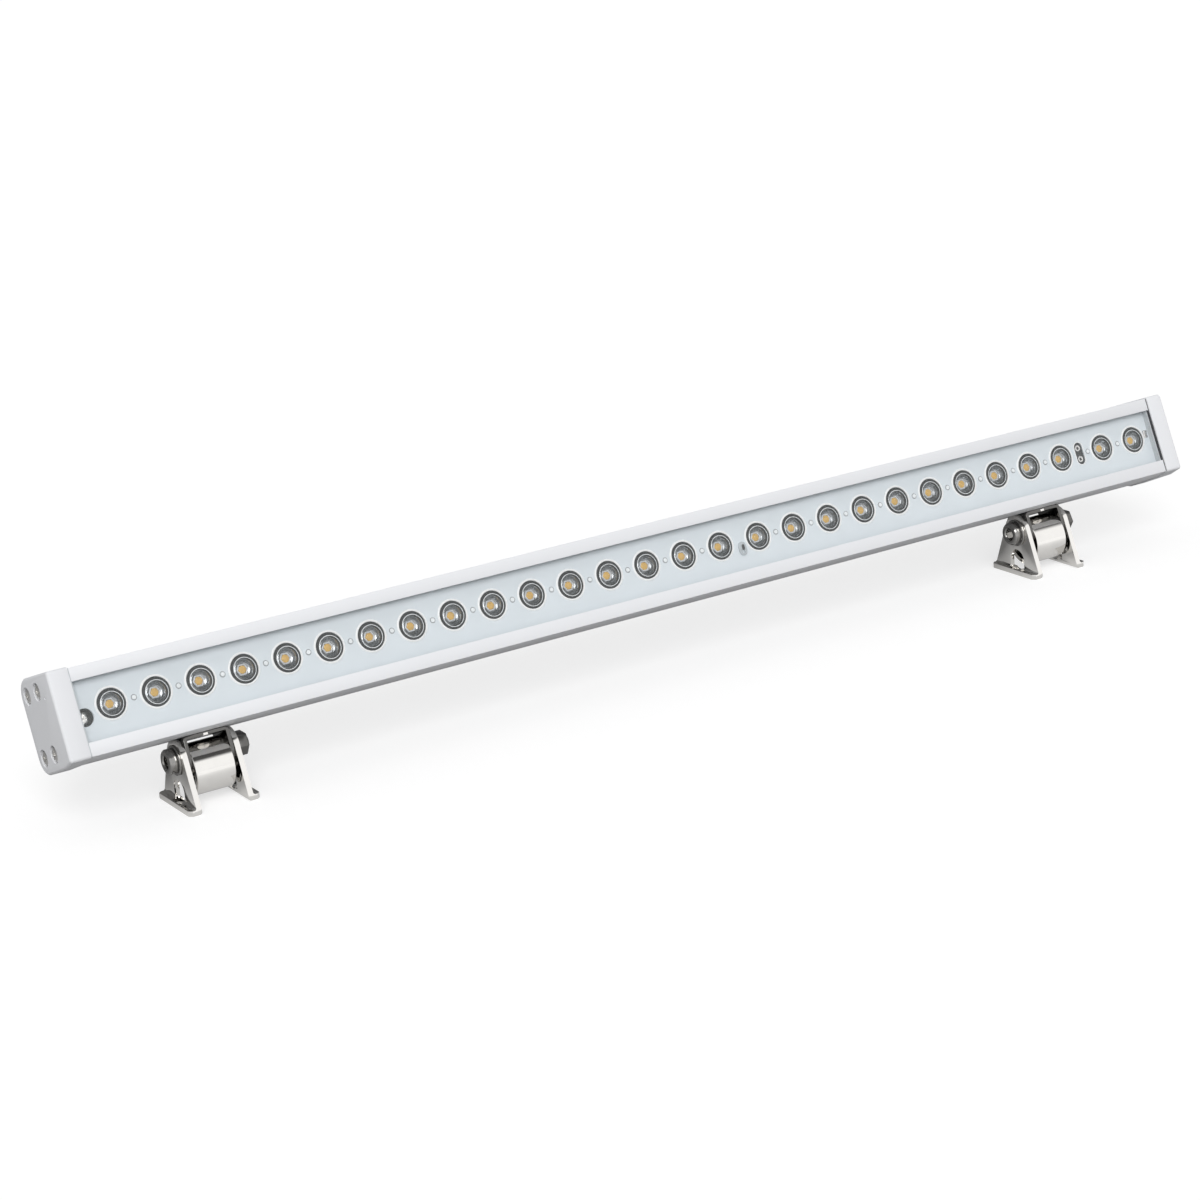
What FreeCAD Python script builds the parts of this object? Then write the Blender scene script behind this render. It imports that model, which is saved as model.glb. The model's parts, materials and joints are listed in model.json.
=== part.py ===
"""Outdoor linear wall washer: a one metre aluminium lamp on two tilting steel brackets.

Millimetres, +Z up, X along the lamp, the light leaves towards -Y.
Lamp pieces are drawn upright, with X centred on the lamp, Y = 0 on the front plane and Z = 0 at
mid height, and are then tilted about the pivot bolts. Bracket pieces are drawn round their bolt.
"""
import FreeCAD, Part
import math
import os
import Sketcher

Vector = FreeCAD.Vector
X_AXIS = Vector(1, 0, 0)
Y_AXIS = Vector(0, 1, 0)
Z_AXIS = Vector(0, 0, 1)

# Driving dimensions, in millimetres, degrees and counts.
SIZES = {
    "overall_length": 1000.0,
    "tilt_angle": 22.5,
    # where the tilt axis lies in the lamp's own section, and in the row
    "pivot_depth": 30.0,
    "pivot_drop": 47.5,
    "axis_height": 34.0,
    "axis_y": -19.486,
    "left_bracket_x": -393.5,
    "right_bracket_x": 361.5,
    # housing extrusion
    "front_half": 31.5,
    "rear_half": 34.0,
    "section_depth": 62.0,
    "rear_radius": 14.0,
    "pad_half": 33.5,
    "pad_front": 13.0,
    "window_half": 21.7,
    "lip_thickness": 2.0,
    "groove_half": 26.0,
    "groove_back": 5.8,
    "panel_half": 24.0,
    "ledge_depth": 9.6,
    "chamber_half": 17.5,
    "shelf_front": 28.0,
    "shelf_back": 32.0,
    "rear_room_half": 15.5,
    "rear_room_back": 59.2,
    "port_radius": 2.1,
    "port_front_y": 28.0,
    "port_rear_y": 50.0,
    "port_z": 22.3,
    # end caps
    "cap_thickness": 15.5,
    "cap_overhang": 1.0,
    "cap_edge": 1.3,
    "cap_screw_well": 6.0,
    "cap_screw_sink": 3.2,
    "gasket_thickness": 1.0,
    # glass, panel and optics
    "glass_thickness": 3.0,
    "glass_half": 25.2,
    "panel_front": 7.4,
    "panel_thickness": 2.0,
    "lens_hole": 11.0,
    "lens_step": 4.6,
    "peg_radius": 1.75,
    "peg_height": 0.9,
    "peg_shift": 6.6,
    "slot_shift": 2.0,
    "slot_half_width": 4.2,
    "slot_half_height": 9.2,
    "bush_radius": 3.2,
    "panel_screw_shift": 21.0,
    "panel_screw_drop": 4.0,
    "panel_screw_hole": 6.5,
    "led_count": 28,
    "led_first_x": -457.7,
    "led_pitch": 33.75,
    "board_gap_a": 1.5,
    "board_gap_b": 10.0,
    "led_row_z": 1.2,
    "board_thickness": 1.6,
    "board_half": 15.0,
    "chip_size": 6.0,
    "chip_height": 1.4,
    # pivot hardware and brackets
    "bolt_radius": 5.0,
    "head_radius": 8.75,
    "head_height": 6.4,
    "hex_across": 8.0,
    "nut_across": 16.0,
    "nut_height": 8.0,
    "washer_radius": 11.0,
    "washer_thickness": 1.6,
    "ear_inner": 18.0,
    "ear_thickness": 4.0,
    "ear_radius": 14.0,
    "foot_edge": 27.5,
    "foot_half": 27.0,
    "ear_window_half": 8.7,
    "ear_window_top": 14.5,
    "foot_hole": 2.75,
    "saddle_half": 17.8,
    "saddle_thickness": 2.8,
    "saddle_radius": 13.5,
    "saddle_screw": 2.4,
    "saddle_screw_y": 9.0,
    "saddle_screw_length": 9.0,
    "saddle_sink": 4.95,
    "saddle_sink_depth": 1.6,
    "tube_outer": 18.6,
    "tube_inner": 15.0,
    "tube_drop": 9.7,
    "running_gap": 0.06,
    # cable gland
    "gland_x": 440.0,
    "gland_bore": 3.75,
    "gland_thread": 6.0,
    "gland_nut": 8.6,
    "vent_stem": 4.95,
    "vent_radius": 7.0,
}

LENS_SIDES = 10
# first and last light source of each evenly spaced run, and of each light board
BOARDS_SPACED = ((0, 15), (16, 25), (26, 27))
BOARDS = ((0, 7), (8, 15), (16, 25), (26, 27))

document = FreeCAD.newDocument("WallWasher")
sheet = document.addObject("Spreadsheet::Sheet", "Sizes")
for row, (alias, number) in enumerate(SIZES.items(), start=1):
    sheet.set("A%d" % row, alias)
    sheet.set("B%d" % row, repr(number))
    sheet.setAlias("B%d" % row, alias)
document.recompute()

finished = []


def value(expression):
    """The number that an expression over the sheet stands for."""
    result = sheet.evalExpression(expression)
    return float(getattr(result, "Value", result))


def size(alias):
    """One driving dimension."""
    return float(sheet.get(alias))


# ---------------------------------------------------------------- placing

def lamp_placement():
    """Turns the upright lamp back about the pivot axis and lifts it onto the brackets."""
    turn = FreeCAD.Rotation(X_AXIS, -size("tilt_angle"))
    pivot = Vector(0, size("pivot_depth"), -size("pivot_drop"))
    target = Vector(0, size("axis_y"), size("axis_height"))
    return FreeCAD.Placement(target - turn.multVec(pivot), turn)


def bracket_placement(side):
    """Stands bracket pieces, drawn round their bolt, on the ground."""
    return FreeCAD.Placement(Vector(size(side + "_bracket_x"), size("axis_y"), size("axis_height")),
                             FreeCAD.Rotation())


def finish(item, label, placement):
    """Names a sub-part, puts it in its place and lists it for the library."""
    item.Label = label
    item.Placement = placement
    finished.append(item)
    return item


# ---------------------------------------------------------------- sketching and features

def new_body(name):
    body = document.addObject("PartDesign::Body", name)
    body.AllowCompound = True
    return body


def new_sketch(body, plane, offset="0"):
    """A sketch on one of the body's own origin planes, moved along its normal by an expression."""
    sketch = body.newObject("Sketcher::SketchObject", "Sketch")
    support = [item for item in body.Origin.OriginFeatures if item.Role == plane + "_Plane"][0]
    sketch.AttachmentSupport = [(support, "")]
    sketch.MapMode = "FlatFace"
    if offset != "0":
        sketch.setExpression("AttachmentOffset.Base.z", offset)
    return sketch


def bind(sketch, constraint, expression):
    """Adds a dimension and ties it to the sheet."""
    index = sketch.addConstraint(constraint)
    sketch.setExpression("Constraints[%d]" % index, expression)


def outline(sketch, corners):
    """A closed run of straight lines; each corner is a pair of expressions."""
    points = [Vector(value(across), value(up), 0) for across, up in corners]
    first = sketch.GeometryCount
    count = len(points)
    for index in range(count):
        sketch.addGeometry(Part.LineSegment(points[index], points[(index + 1) % count]))
    for index in range(count):
        following = first + (index + 1) % count
        sketch.addConstraint(Sketcher.Constraint("Coincident", first + index, 2, following, 1))
    for index, (across, up) in enumerate(corners):
        line = first + index
        bind(sketch, Sketcher.Constraint("DistanceX", -1, 1, line, 1, points[index].x), across)
        bind(sketch, Sketcher.Constraint("DistanceY", -1, 1, line, 1, points[index].y), up)


def box_outline(sketch, low_across, low_up, high_across, high_up):
    outline(sketch, [(low_across, low_up), (high_across, low_up),
                     (high_across, high_up), (low_across, high_up)])


def disc(sketch, across, up, radius):
    """A circle whose centre and radius are expressions."""
    centre = Vector(value(across), value(up), 0)
    index = sketch.addGeometry(Part.Circle(centre, Z_AXIS, value(radius)))
    bind(sketch, Sketcher.Constraint("DistanceX", -1, 1, index, 3, centre.x), across)
    bind(sketch, Sketcher.Constraint("DistanceY", -1, 1, index, 3, centre.y), up)
    bind(sketch, Sketcher.Constraint("Radius", index, value(radius)), radius)


def polygon(sketch, across, up, radius, sides):
    """A regular polygon; the expressions give its centre and the radius to its corners."""
    turns = [360.0 * step / sides for step in range(sides)]
    outline(sketch, [("%s + (%s) * cos(%g deg)" % (across, radius, turn),
                      "%s + (%s) * sin(%g deg)" % (up, radius, turn)) for turn in turns])


def hexagon(sketch, across_flats):
    """A hexagon round the origin with two flats level."""
    polygon(sketch, "0", "0", "%s / (2 * cos(30 deg))" % across_flats, 6)


def obround(sketch, across, up, half_width, half_height):
    """A slot with rounded ends, upright, whose ends are half polygons."""
    straight = "(%s - %s)" % (half_height, half_width)
    corners = []
    for end, start in (("+ " + straight, 0), ("- " + straight, 180)):
        for turn in range(start, start + 181, 45):
            corners.append(("%s + %s * cos(%d deg)" % (across, half_width, turn),
                            "%s %s + %s * sin(%d deg)" % (up, end, half_width, turn)))
    outline(sketch, corners)


def pad(body, sketch, length, both_ways=False, backwards=False):
    feature = body.newObject("PartDesign::Pad", "Pad")
    feature.Profile = sketch
    feature.setExpression("Length", length)
    feature.SideType = "Symmetric" if both_ways else "One side"
    feature.Reversed = backwards
    document.recompute()
    return feature


def cut(body, sketch, depth, both_ways=False, backwards=False):
    """A pocket that has to take something away."""
    before = body.Shape.Volume
    feature = body.newObject("PartDesign::Pocket", "Pocket")
    feature.Profile = sketch
    feature.setExpression("Length", depth)
    feature.SideType = "Symmetric" if both_ways else "One side"
    feature.Reversed = backwards
    document.recompute()
    if body.Shape.Volume > before - 0.01:
        raise RuntimeError("a pocket in %s cuts nothing" % body.Name)
    return feature


def revolve(body, sketch, axis):
    feature = body.newObject("PartDesign::Revolution", "Revolution")
    feature.Profile = sketch
    feature.ReferenceAxis = (sketch, [axis])
    feature.Angle = 360
    document.recompute()
    return feature


def along_row(body, feature, count):
    """Repeats a feature along X at the light sources' pitch."""
    pattern = body.newObject("PartDesign::LinearPattern", "Row")
    pattern.Originals = [feature]
    pattern.Direction = (feature.Profile[0], ["H_Axis"])
    pattern.Occurrences = count
    pattern.setExpression("Length", "%d * Sizes.led_pitch" % (count - 1))
    body.Tip = pattern
    document.recompute()
    return pattern


def edges_at(shape, **limits):
    """Names of the edges whose box lies on the given coordinates, such as YMin=3, YMax=3."""
    names = []
    for index, edge in enumerate(shape.Edges, start=1):
        box = edge.BoundBox
        if all(abs(getattr(box, key) - wanted) < 0.02 for key, wanted in limits.items()):
            names.append("Edge%d" % index)
    return names


def line_edges(shape, **place):
    """Edges that run along one axis, found by their place on the other two."""
    limits = {}
    for axis, wanted in place.items():
        limits[axis + "Min"] = wanted
        limits[axis + "Max"] = wanted
    return edges_at(shape, **limits)


def bevel_face(body, size_expression, **limits):
    """Bevels the edges of a many-sided face that lies on the given coordinates."""
    dress(body, "Chamfer", edges_at(body.Shape, **limits), size_expression)


def dress(body, kind, names, radius):
    """A fillet or chamfer on named edges of the body's tip."""
    if not names:
        raise RuntimeError("no edges to dress on %s" % body.Name)
    base = body.Tip
    feature = body.newObject("PartDesign::" + kind, kind)
    feature.Base = (base, names)
    if kind == "Fillet":
        feature.setExpression("Radius", radius)
    else:
        feature.setExpression("Size", radius)
    document.recompute()
    return feature


def group(label, shapes, placement):
    """Like pieces that stay separate solids in one node."""
    feature = document.addObject("Part::Feature", label)
    feature.Shape = Part.makeCompound(shapes)
    return finish(feature, label, placement)


def moved(shape, x=0.0, y=0.0, z=0.0):
    copy = shape.copy()
    copy.translate(Vector(x, y, z))
    return copy


def solid_block(label, low, high, placement):
    """A plain block between two corners given as expressions."""
    block = document.addObject("Part::Box", label)
    for name, start, end in zip(("Length", "Width", "Height"), low, high):
        block.setExpression(name, "(%s) - (%s)" % (end, start))
    corner = FreeCAD.Placement(Vector(*[value(start) for start in low]), FreeCAD.Rotation())
    return finish(block, label, placement.multiply(corner))


def prism(x, z, depth, radius, sides, length):
    """A many-sided post along Y that starts at a depth."""
    corners = [Vector(x + radius * math.cos(2 * math.pi * step / sides), depth,
                      z + radius * math.sin(2 * math.pi * step / sides)) for step in range(sides)]
    face = Part.Face(Part.makePolygon(corners + corners[:1]))
    return face.extrude(Vector(0, length, 0))


# ---------------------------------------------------------------- housing

def section_corners(grow):
    """The section's outer corners: the top flares back, the underside is flat past the front."""
    return [("-(%s)" % grow, "-Sizes.front_half - (%s)" % grow),
            ("Sizes.pad_front", "-Sizes.pad_half - (%s)" % grow),
            ("Sizes.section_depth + (%s)" % grow, "-Sizes.pad_half - (%s)" % grow),
            ("Sizes.section_depth + (%s)" % grow, "Sizes.rear_half + (%s)" % grow),
            ("-(%s)" % grow, "Sizes.front_half + (%s)" % grow)]


def round_rear(body, grow, kind="Fillet"):
    back = size("section_depth") + grow
    names = line_edges(body.Shape, Y=back, Z=size("rear_half") + grow)
    names += line_edges(body.Shape, Y=back, Z=-size("pad_half") - grow)
    dress(body, kind, names, "Sizes.rear_radius")


def cap_inner_x():
    return "Sizes.overall_length / 2 - Sizes.cap_thickness"


def screw_ports(sketch):
    """Four six-sided ports for the caps' thread-forming screws."""
    for depth in ("Sizes.port_front_y", "Sizes.port_rear_y"):
        for way in ("", "-"):
            polygon(sketch, depth, way + "Sizes.port_z", "Sizes.port_radius", 6)


def build_housing():
    """One extrusion: front lips, glass groove, panel ledge, light room, shelf and gear room."""
    body = new_body("Housing")
    length = "Sizes.overall_length - 2 * Sizes.cap_thickness - 2 * Sizes.gasket_thickness"
    profile = new_sketch(body, "YZ")
    outline(profile, section_corners("0"))
    pad(body, profile, length, both_ways=True)
    round_rear(body, 0.0)
    rooms = [("-1", "Sizes.window_half", "Sizes.lip_thickness"),
             ("Sizes.lip_thickness", "Sizes.groove_half", "Sizes.groove_back"),
             ("Sizes.groove_back", "Sizes.panel_half", "Sizes.ledge_depth"),
             ("Sizes.ledge_depth", "Sizes.chamber_half", "Sizes.shelf_front"),
             ("Sizes.shelf_back", "Sizes.rear_room_half", "Sizes.rear_room_back")]
    for front, half, back in rooms:
        room = new_sketch(body, "YZ")
        box_outline(room, front, "-(%s)" % half, back, half)
        cut(body, room, length, both_ways=True)
    hollows = new_sketch(body, "YZ")
    for sign in ("", "-"):
        inner = "%s(Sizes.chamber_half + 2)" % sign
        outer = "%s(Sizes.front_half - 2.2)" % sign
        box_outline(hollows, "Sizes.ledge_depth + 2", inner, "Sizes.shelf_front - 4", outer)
        box_outline(hollows, "Sizes.shelf_back + 1", inner, "Sizes.port_rear_y - 6", outer)
    screw_ports(hollows)
    cut(body, hollows, length, both_ways=True)
    entries = new_sketch(body, "XZ", "-Sizes.section_depth")
    polygon(entries, "Sizes.gland_x", "0", "Sizes.gland_thread + 0.4", 16)
    polygon(entries, "-Sizes.gland_x", "0", "Sizes.vent_stem + 0.2", 12)
    cut(body, entries, "Sizes.section_depth - Sizes.rear_room_back + 1", backwards=True)
    for side in ("left", "right"):
        taps = new_sketch(body, "XY", "-Sizes.pad_half")
        for way in ("-", "+"):
            polygon(taps, "Sizes.%s_bracket_x" % side, "Sizes.pivot_depth %s Sizes.saddle_screw_y" % way,
                    "Sizes.saddle_screw + 0.1", 6)
        cut(body, taps, "Sizes.saddle_screw_length", backwards=True)
    finish(body, "housing_extrusion", lamp_placement())


def build_end_cap(side, sign):
    """A cast cap, a little proud of the extrusion, with four screw wells in its face."""
    body = new_body("EndCap")
    face = "%d * (Sizes.overall_length / 2)" % sign
    profile = new_sketch(body, "YZ", face)
    outline(profile, section_corners("Sizes.cap_overhang"))
    pad(body, profile, "Sizes.cap_thickness", backwards=sign > 0)
    round_rear(body, size("cap_overhang"))
    end = sign * size("overall_length") / 2
    rim = edges_at(body.Shape, XMin=end, XMax=end)
    dress(body, "Chamfer", rim, "Sizes.cap_edge")
    wells = new_sketch(body, "YZ", face)
    for depth in ("Sizes.port_front_y", "Sizes.port_rear_y"):
        for way in ("", "-"):
            polygon(wells, depth, way + "Sizes.port_z", "Sizes.cap_screw_well", 12)
    cut(body, wells, "Sizes.cap_screw_sink", backwards=sign < 0)
    bores = new_sketch(body, "YZ", face)
    screw_ports(bores)
    cut(body, bores, "Sizes.cap_thickness", backwards=sign < 0)
    finish(body, "end_cap_" + side, lamp_placement())


def build_end_gasket(side, sign):
    """A flat silicone gasket between cap and extrusion."""
    body = new_body("EndGasket")
    profile = new_sketch(body, "YZ", "%d * (%s)" % (sign, cap_inner_x()))
    outline(profile, section_corners("-0.3"))
    pad(body, profile, "Sizes.gasket_thickness", backwards=sign > 0)
    round_rear(body, -0.3, "Chamfer")
    bores = new_sketch(body, "YZ", "%d * (%s)" % (sign, cap_inner_x()))
    screw_ports(bores)
    cut(body, bores, "Sizes.gasket_thickness", backwards=sign < 0)
    finish(body, "end_gasket_" + side, lamp_placement())


# ---------------------------------------------------------------- screws

def cross_outline(sketch, arm, half):
    """A cross-shaped driver recess."""
    near, far = str(half), str(arm)
    corners = [(far, near), (near, near), (near, far)]
    quarter = [(a, b) for a, b in corners]
    points = quarter + [("-" + b, a) for a, b in quarter] + [("-" + a, "-" + b) for a, b in quarter]
    points += [(b, "-" + a) for a, b in quarter]
    outline(sketch, points)


def pan_screw(name, head_radius, head_height, shank_radius, shank_length):
    """A cross-recessed pan head screw along +X, its head's underside at X = 0 and its tip at -X."""
    body = new_body(name)
    under = new_sketch(body, "YZ")
    polygon(under, "0", "0", "%g" % head_radius, 10)
    pad(body, under, "%g" % head_height)
    bevel_face(body, "%g" % (head_radius * 0.2), XMin=head_height, XMax=head_height)
    shank = new_sketch(body, "YZ")
    polygon(shank, "0", "0", "%g" % shank_radius, 6)
    pad(body, shank, "%g" % shank_length, backwards=True)
    recess = new_sketch(body, "YZ", "%g" % head_height)
    cross_outline(recess, head_radius * 0.55, head_radius * 0.14)
    cut(body, recess, "%g" % (head_height * 0.6))
    return body


def build_cap_screws(side, sign, template):
    seat = size("overall_length") / 2 - size("cap_screw_sink")
    shape = template.Shape.copy()
    if sign < 0:
        shape.rotate(Vector(0, 0, 0), Z_AXIS, 180)
    shapes = [moved(shape, sign * seat, depth, way * size("port_z"))
              for depth in (size("port_front_y"), size("port_rear_y")) for way in (1, -1)]
    group("end_cap_screws_" + side, shapes, lamp_placement())


# ---------------------------------------------------------------- glass, panel and optics

def light_length():
    return "Sizes.overall_length - 2 * Sizes.cap_thickness - 4"


def led_positions():
    """The light sources along X: one pitch, with a wider gap where two boards meet."""
    places = []
    for index in range(int(size("led_count"))):
        x = size("led_first_x") + index * size("led_pitch")
        if index >= 16:
            x += size("board_gap_a")
        if index >= 26:
            x += size("board_gap_b")
        places.append(x)
    return places


def build_glass():
    body = new_body("FrontGlass")
    profile = new_sketch(body, "YZ")
    front = "Sizes.groove_back - Sizes.glass_thickness"
    box_outline(profile, front, "-Sizes.glass_half", "Sizes.groove_back", "Sizes.glass_half")
    pad(body, profile, light_length(), both_ways=True)
    finish(body, "front_glass", lamp_placement())


def build_glass_seal(name, sign):
    """A silicone angle between the glass edge and the extrusion's lip."""
    body = new_body("GlassSeal")
    profile = new_sketch(body, "YZ")
    lip, window = "Sizes.lip_thickness", "%s(Sizes.window_half + 0.4)" % sign
    groove, edge = "%sSizes.groove_half" % sign, "%sSizes.glass_half" % sign
    glass_front = "Sizes.groove_back - Sizes.glass_thickness"
    outline(profile, [(lip, window), (lip, groove), ("Sizes.groove_back", groove),
                      ("Sizes.groove_back", edge), (glass_front, edge), (glass_front, window)])
    pad(body, profile, light_length(), both_ways=True)
    finish(body, name, lamp_placement())


def slot_x():
    """The lead slot's place, where the last two boards meet."""
    places = led_positions()
    return (places[25] + places[26]) / 2 - size("slot_shift")


def screw_x():
    """The panel screw's place, left of the first light source."""
    return led_positions()[0] - size("panel_screw_shift")


def build_panel():
    """The white lens panel: a hole for each light source, a lead slot and a screw hole."""
    body = new_body("LensPanel")
    base = new_sketch(body, "XZ", "-Sizes.panel_front")
    half = "(%s) / 2" % light_length()
    low, high = "-(Sizes.panel_half - 0.2)", "Sizes.panel_half - 0.2"
    box_outline(base, "-" + half, low, half, high)
    pad(body, base, "Sizes.panel_thickness", backwards=True)
    places = led_positions()
    for first, last in BOARDS_SPACED:
        hole = new_sketch(body, "XZ", "-Sizes.panel_front")
        polygon(hole, "%.3f" % places[first], "Sizes.led_row_z", "Sizes.lens_hole", LENS_SIDES)
        single = cut(body, hole, "Sizes.panel_thickness")
        along_row(body, single, last - first + 1)
    service = new_sketch(body, "XZ", "-Sizes.panel_front")
    obround(service, "%.3f" % slot_x(), "Sizes.led_row_z", "Sizes.slot_half_width", "Sizes.slot_half_height")
    polygon(service, "%.3f" % screw_x(), "-Sizes.panel_screw_drop", "Sizes.panel_screw_hole", 16)
    cut(body, service, "Sizes.panel_thickness")
    finish(body, "lens_panel", lamp_placement())


def lens_template():
    """A collimator: a rimmed front plate and a cone that narrows to the light source."""
    body = new_body("LensTemplate")
    plate = new_sketch(body, "XZ", "-Sizes.panel_front - 0.8")
    polygon(plate, "0", "0", "Sizes.lens_hole - 1.3", LENS_SIDES)
    pad(body, plate, "Sizes.shelf_front - Sizes.panel_front - 5.2", backwards=True)
    back = size("shelf_front") - 4.4
    cone = dress(body, "Chamfer", edges_at(body.Shape, YMin=back, YMax=back), "Sizes.lens_step")
    cone.ChamferType = "Two distances"
    cone.FlipDirection = True
    cone.setExpression("Size2", "Sizes.shelf_front - Sizes.panel_front - 6.8")
    document.recompute()
    return body


def holder_template():
    """The black sleeve that centres a lens in its hole and stands on the board."""
    body = new_body("HolderTemplate")
    ring = new_sketch(body, "XZ", "-Sizes.panel_front - 0.3")
    polygon(ring, "0", "0", "Sizes.lens_hole - 0.15", LENS_SIDES)
    polygon(ring, "0", "0", "Sizes.lens_hole - 1.15", LENS_SIDES)
    pad(body, ring, "Sizes.shelf_front - Sizes.board_thickness - Sizes.panel_front - 0.3", backwards=True)
    return body


def build_pegs():
    """Clear pegs midway between the lenses, set in the panel's face."""
    places = led_positions()
    spots = [(low + high) / 2 for low, high in zip(places, places[1:])]
    spots[25] += size("peg_shift")
    del spots[15]
    body = new_body("PegTemplate")
    foot = new_sketch(body, "XZ", "-Sizes.panel_front")
    polygon(foot, "0", "0", "Sizes.peg_radius", 6)
    pad(body, foot, "Sizes.peg_height")
    group("panel_pegs", [moved(body.Shape, x, 0, size("led_row_z")) for x in spots], lamp_placement())


def build_leads():
    """The clip over the leads at the middle joint and the bonding tab at the right-hand end."""
    places = led_positions()
    middle = (places[15] + places[16]) / 2
    clip = new_body("LeadClip")
    tab = new_sketch(clip, "XZ", "-Sizes.panel_front")
    obround(tab, "%.3f" % (middle + 1.0), "-5", "3.4", "5.6")
    obround(tab, "%.3f" % (middle + 1.0), "-7", "1.1", "2")
    pad(clip, tab, "1.2")
    finish(clip, "lead_clip", lamp_placement())
    bond = new_body("BondingTab")
    plate = new_sketch(bond, "YZ", "%.3f" % (places[27] + 12.0))
    front = "Sizes.panel_front"
    outline(plate, [(front, "0"), (front, "6.5"), (front + " - 1.2", "5.8"), (front + " - 0.6", "4.4"),
                    (front + " - 0.6", "0")])
    pad(bond, plate, "4")
    finish(bond, "bonding_tab", lamp_placement())


def build_lead_bushes():
    """Two bright bushes in the lead slot."""
    body = new_body("BushTemplate")
    ring = new_sketch(body, "XZ", "-Sizes.panel_front - 1")
    polygon(ring, "0", "0", "Sizes.bush_radius", 12)
    polygon(ring, "0", "0", "Sizes.bush_radius * 0.4", 8)
    pad(body, ring, "3", backwards=True)
    bushes = [moved(body.Shape, slot_x(), 0, size("led_row_z") + way * 4.6) for way in (-1, 1)]
    group("lead_bushes", bushes, lamp_placement())


def build_optics():
    lens = lens_template()
    holder = holder_template()
    row = size("led_row_z")
    places = led_positions()
    group("collimator_lenses", [moved(lens.Shape, x, 0, row) for x in places], lamp_placement())
    group("lens_holders", [moved(holder.Shape, x, 0, row) for x in places], lamp_placement())
    chip, tall = size("chip_size"), size("chip_height")
    top = size("shelf_front") - size("board_thickness") - tall
    chips = [Part.makeBox(chip, tall, chip, Vector(x - chip / 2, top, row - chip / 2)) for x in places]
    group("led_chips", chips, lamp_placement())
    build_boards(places)


def build_boards(places):
    """Four light boards butted end to end along the shelf."""
    half_pitch = size("led_pitch") / 2 - 0.4
    front = size("shelf_front") - size("board_thickness")
    height = 2 * size("board_half")
    boards = []
    for first, last in BOARDS:
        low = places[first] - half_pitch
        length = places[last] + min(half_pitch, 15.0) - low
        boards.append(Part.makeBox(length, size("board_thickness"), height,
                                   Vector(low, front, -size("board_half"))))
    group("led_boards", boards, lamp_placement())


def build_panel_fixings():
    """The pan head screw that holds the panel, on its hollow pillar."""
    screw = pan_screw("PanelScrewTemplate", 3.4, 2.2, 1.5, 8.0)
    shape = screw.Shape.copy()
    shape.rotate(Vector(0, 0, 0), Z_AXIS, -90)
    seat = size("panel_front") + size("panel_thickness") + 6.0
    drop = -size("panel_screw_drop")
    group("panel_screws", [moved(shape, screw_x(), seat, drop)], lamp_placement())
    pillar = new_body("Pillar")
    ring = new_sketch(pillar, "XZ", "%g" % -seat)
    polygon(ring, "0", "0", "3.6", 12)
    polygon(ring, "0", "0", "1.9", 6)
    pad(pillar, ring, "Sizes.shelf_front - %g" % seat, backwards=True)
    group("panel_pillars", [moved(pillar.Shape, screw_x(), 0, drop)], lamp_placement())


# ---------------------------------------------------------------- control gear

def build_gear():
    """The constant-current driver in the rear room: its board, coil, capacitors and terminals."""
    depth = size("shelf_back")
    place = lamp_placement()
    solid_block("driver_board", ("-190", "Sizes.shelf_back + 4", "-13.5"),
                ("190", "Sizes.shelf_back + 5.6", "13.5"), place)
    solid_block("driver_transformer", ("-30", "Sizes.shelf_back + 5.6", "-11"),
                ("2", "Sizes.shelf_back + 23", "11"), place)
    cans = [prism(x, 0, depth + 5.6, radius, 12, 18.0) for x, radius in
            ((-120, 8.0), (-95, 8.0), (60, 6.3), (85, 6.3))]
    group("driver_capacitors", cans, place)
    standoffs = [prism(x, z, depth, 2.7, 6, 4.0) for x in (-180, 180) for z in (-9, 9)]
    group("driver_standoffs", standoffs, place)
    solid_block("mains_terminal_block", ("Sizes.gland_x - 46", "Sizes.shelf_back", "-12"),
                ("Sizes.gland_x - 16", "Sizes.shelf_back + 12", "12"), place)


# ---------------------------------------------------------------- cable entry and vent

def build_cable_entry():
    """A screwed gland in the rear wall, its clamp nut and seal, with no cord in it."""
    place = lamp_placement().multiply(FreeCAD.Placement(Vector(size("gland_x"), 0, 0), FreeCAD.Rotation()))
    body = new_body("GlandBody")
    thread = new_sketch(body, "XZ", "-Sizes.rear_room_back + 4")
    polygon(thread, "0", "0", "Sizes.gland_thread + 0.2", 16)
    pad(body, thread, "Sizes.section_depth - Sizes.rear_room_back + 13", backwards=True)
    collar = new_sketch(body, "XZ", "-Sizes.section_depth")
    hexagon(collar, "18")
    pad(body, collar, "5", backwards=True)
    through = new_sketch(body, "XZ", "-Sizes.rear_room_back + 4")
    polygon(through, "0", "0", "Sizes.gland_bore + 0.95", 16)
    cut(body, through, "20")
    finish(body, "cable_gland_body", place)

    nut = new_body("GlandNut")
    start = "-Sizes.section_depth - 5.2"
    skirt = new_sketch(nut, "XZ", start)
    polygon(skirt, "0", "0", "Sizes.gland_nut", 12)
    pad(nut, skirt, "12", backwards=True)
    mouth = size("section_depth") + 17.2
    bevel_face(nut, "2.4", YMin=mouth, YMax=mouth)
    hollow = new_sketch(nut, "XZ", start)
    polygon(hollow, "0", "0", "Sizes.gland_thread + 0.4", 16)
    cut(nut, hollow, "8")
    opening = new_sketch(nut, "XZ", start)
    polygon(opening, "0", "0", "Sizes.gland_bore + 0.6", 16)
    cut(nut, opening, "12")
    finish(nut, "cable_gland_nut", place)

    seal = new_body("GlandSeal")
    ring = new_sketch(seal, "XZ", "-Sizes.section_depth - 13")
    polygon(ring, "0", "0", "Sizes.gland_bore + 0.8", 16)
    disc(ring, "0", "0", "Sizes.gland_bore")
    pad(seal, ring, "12")
    finish(seal, "cable_gland_seal", place)


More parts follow.
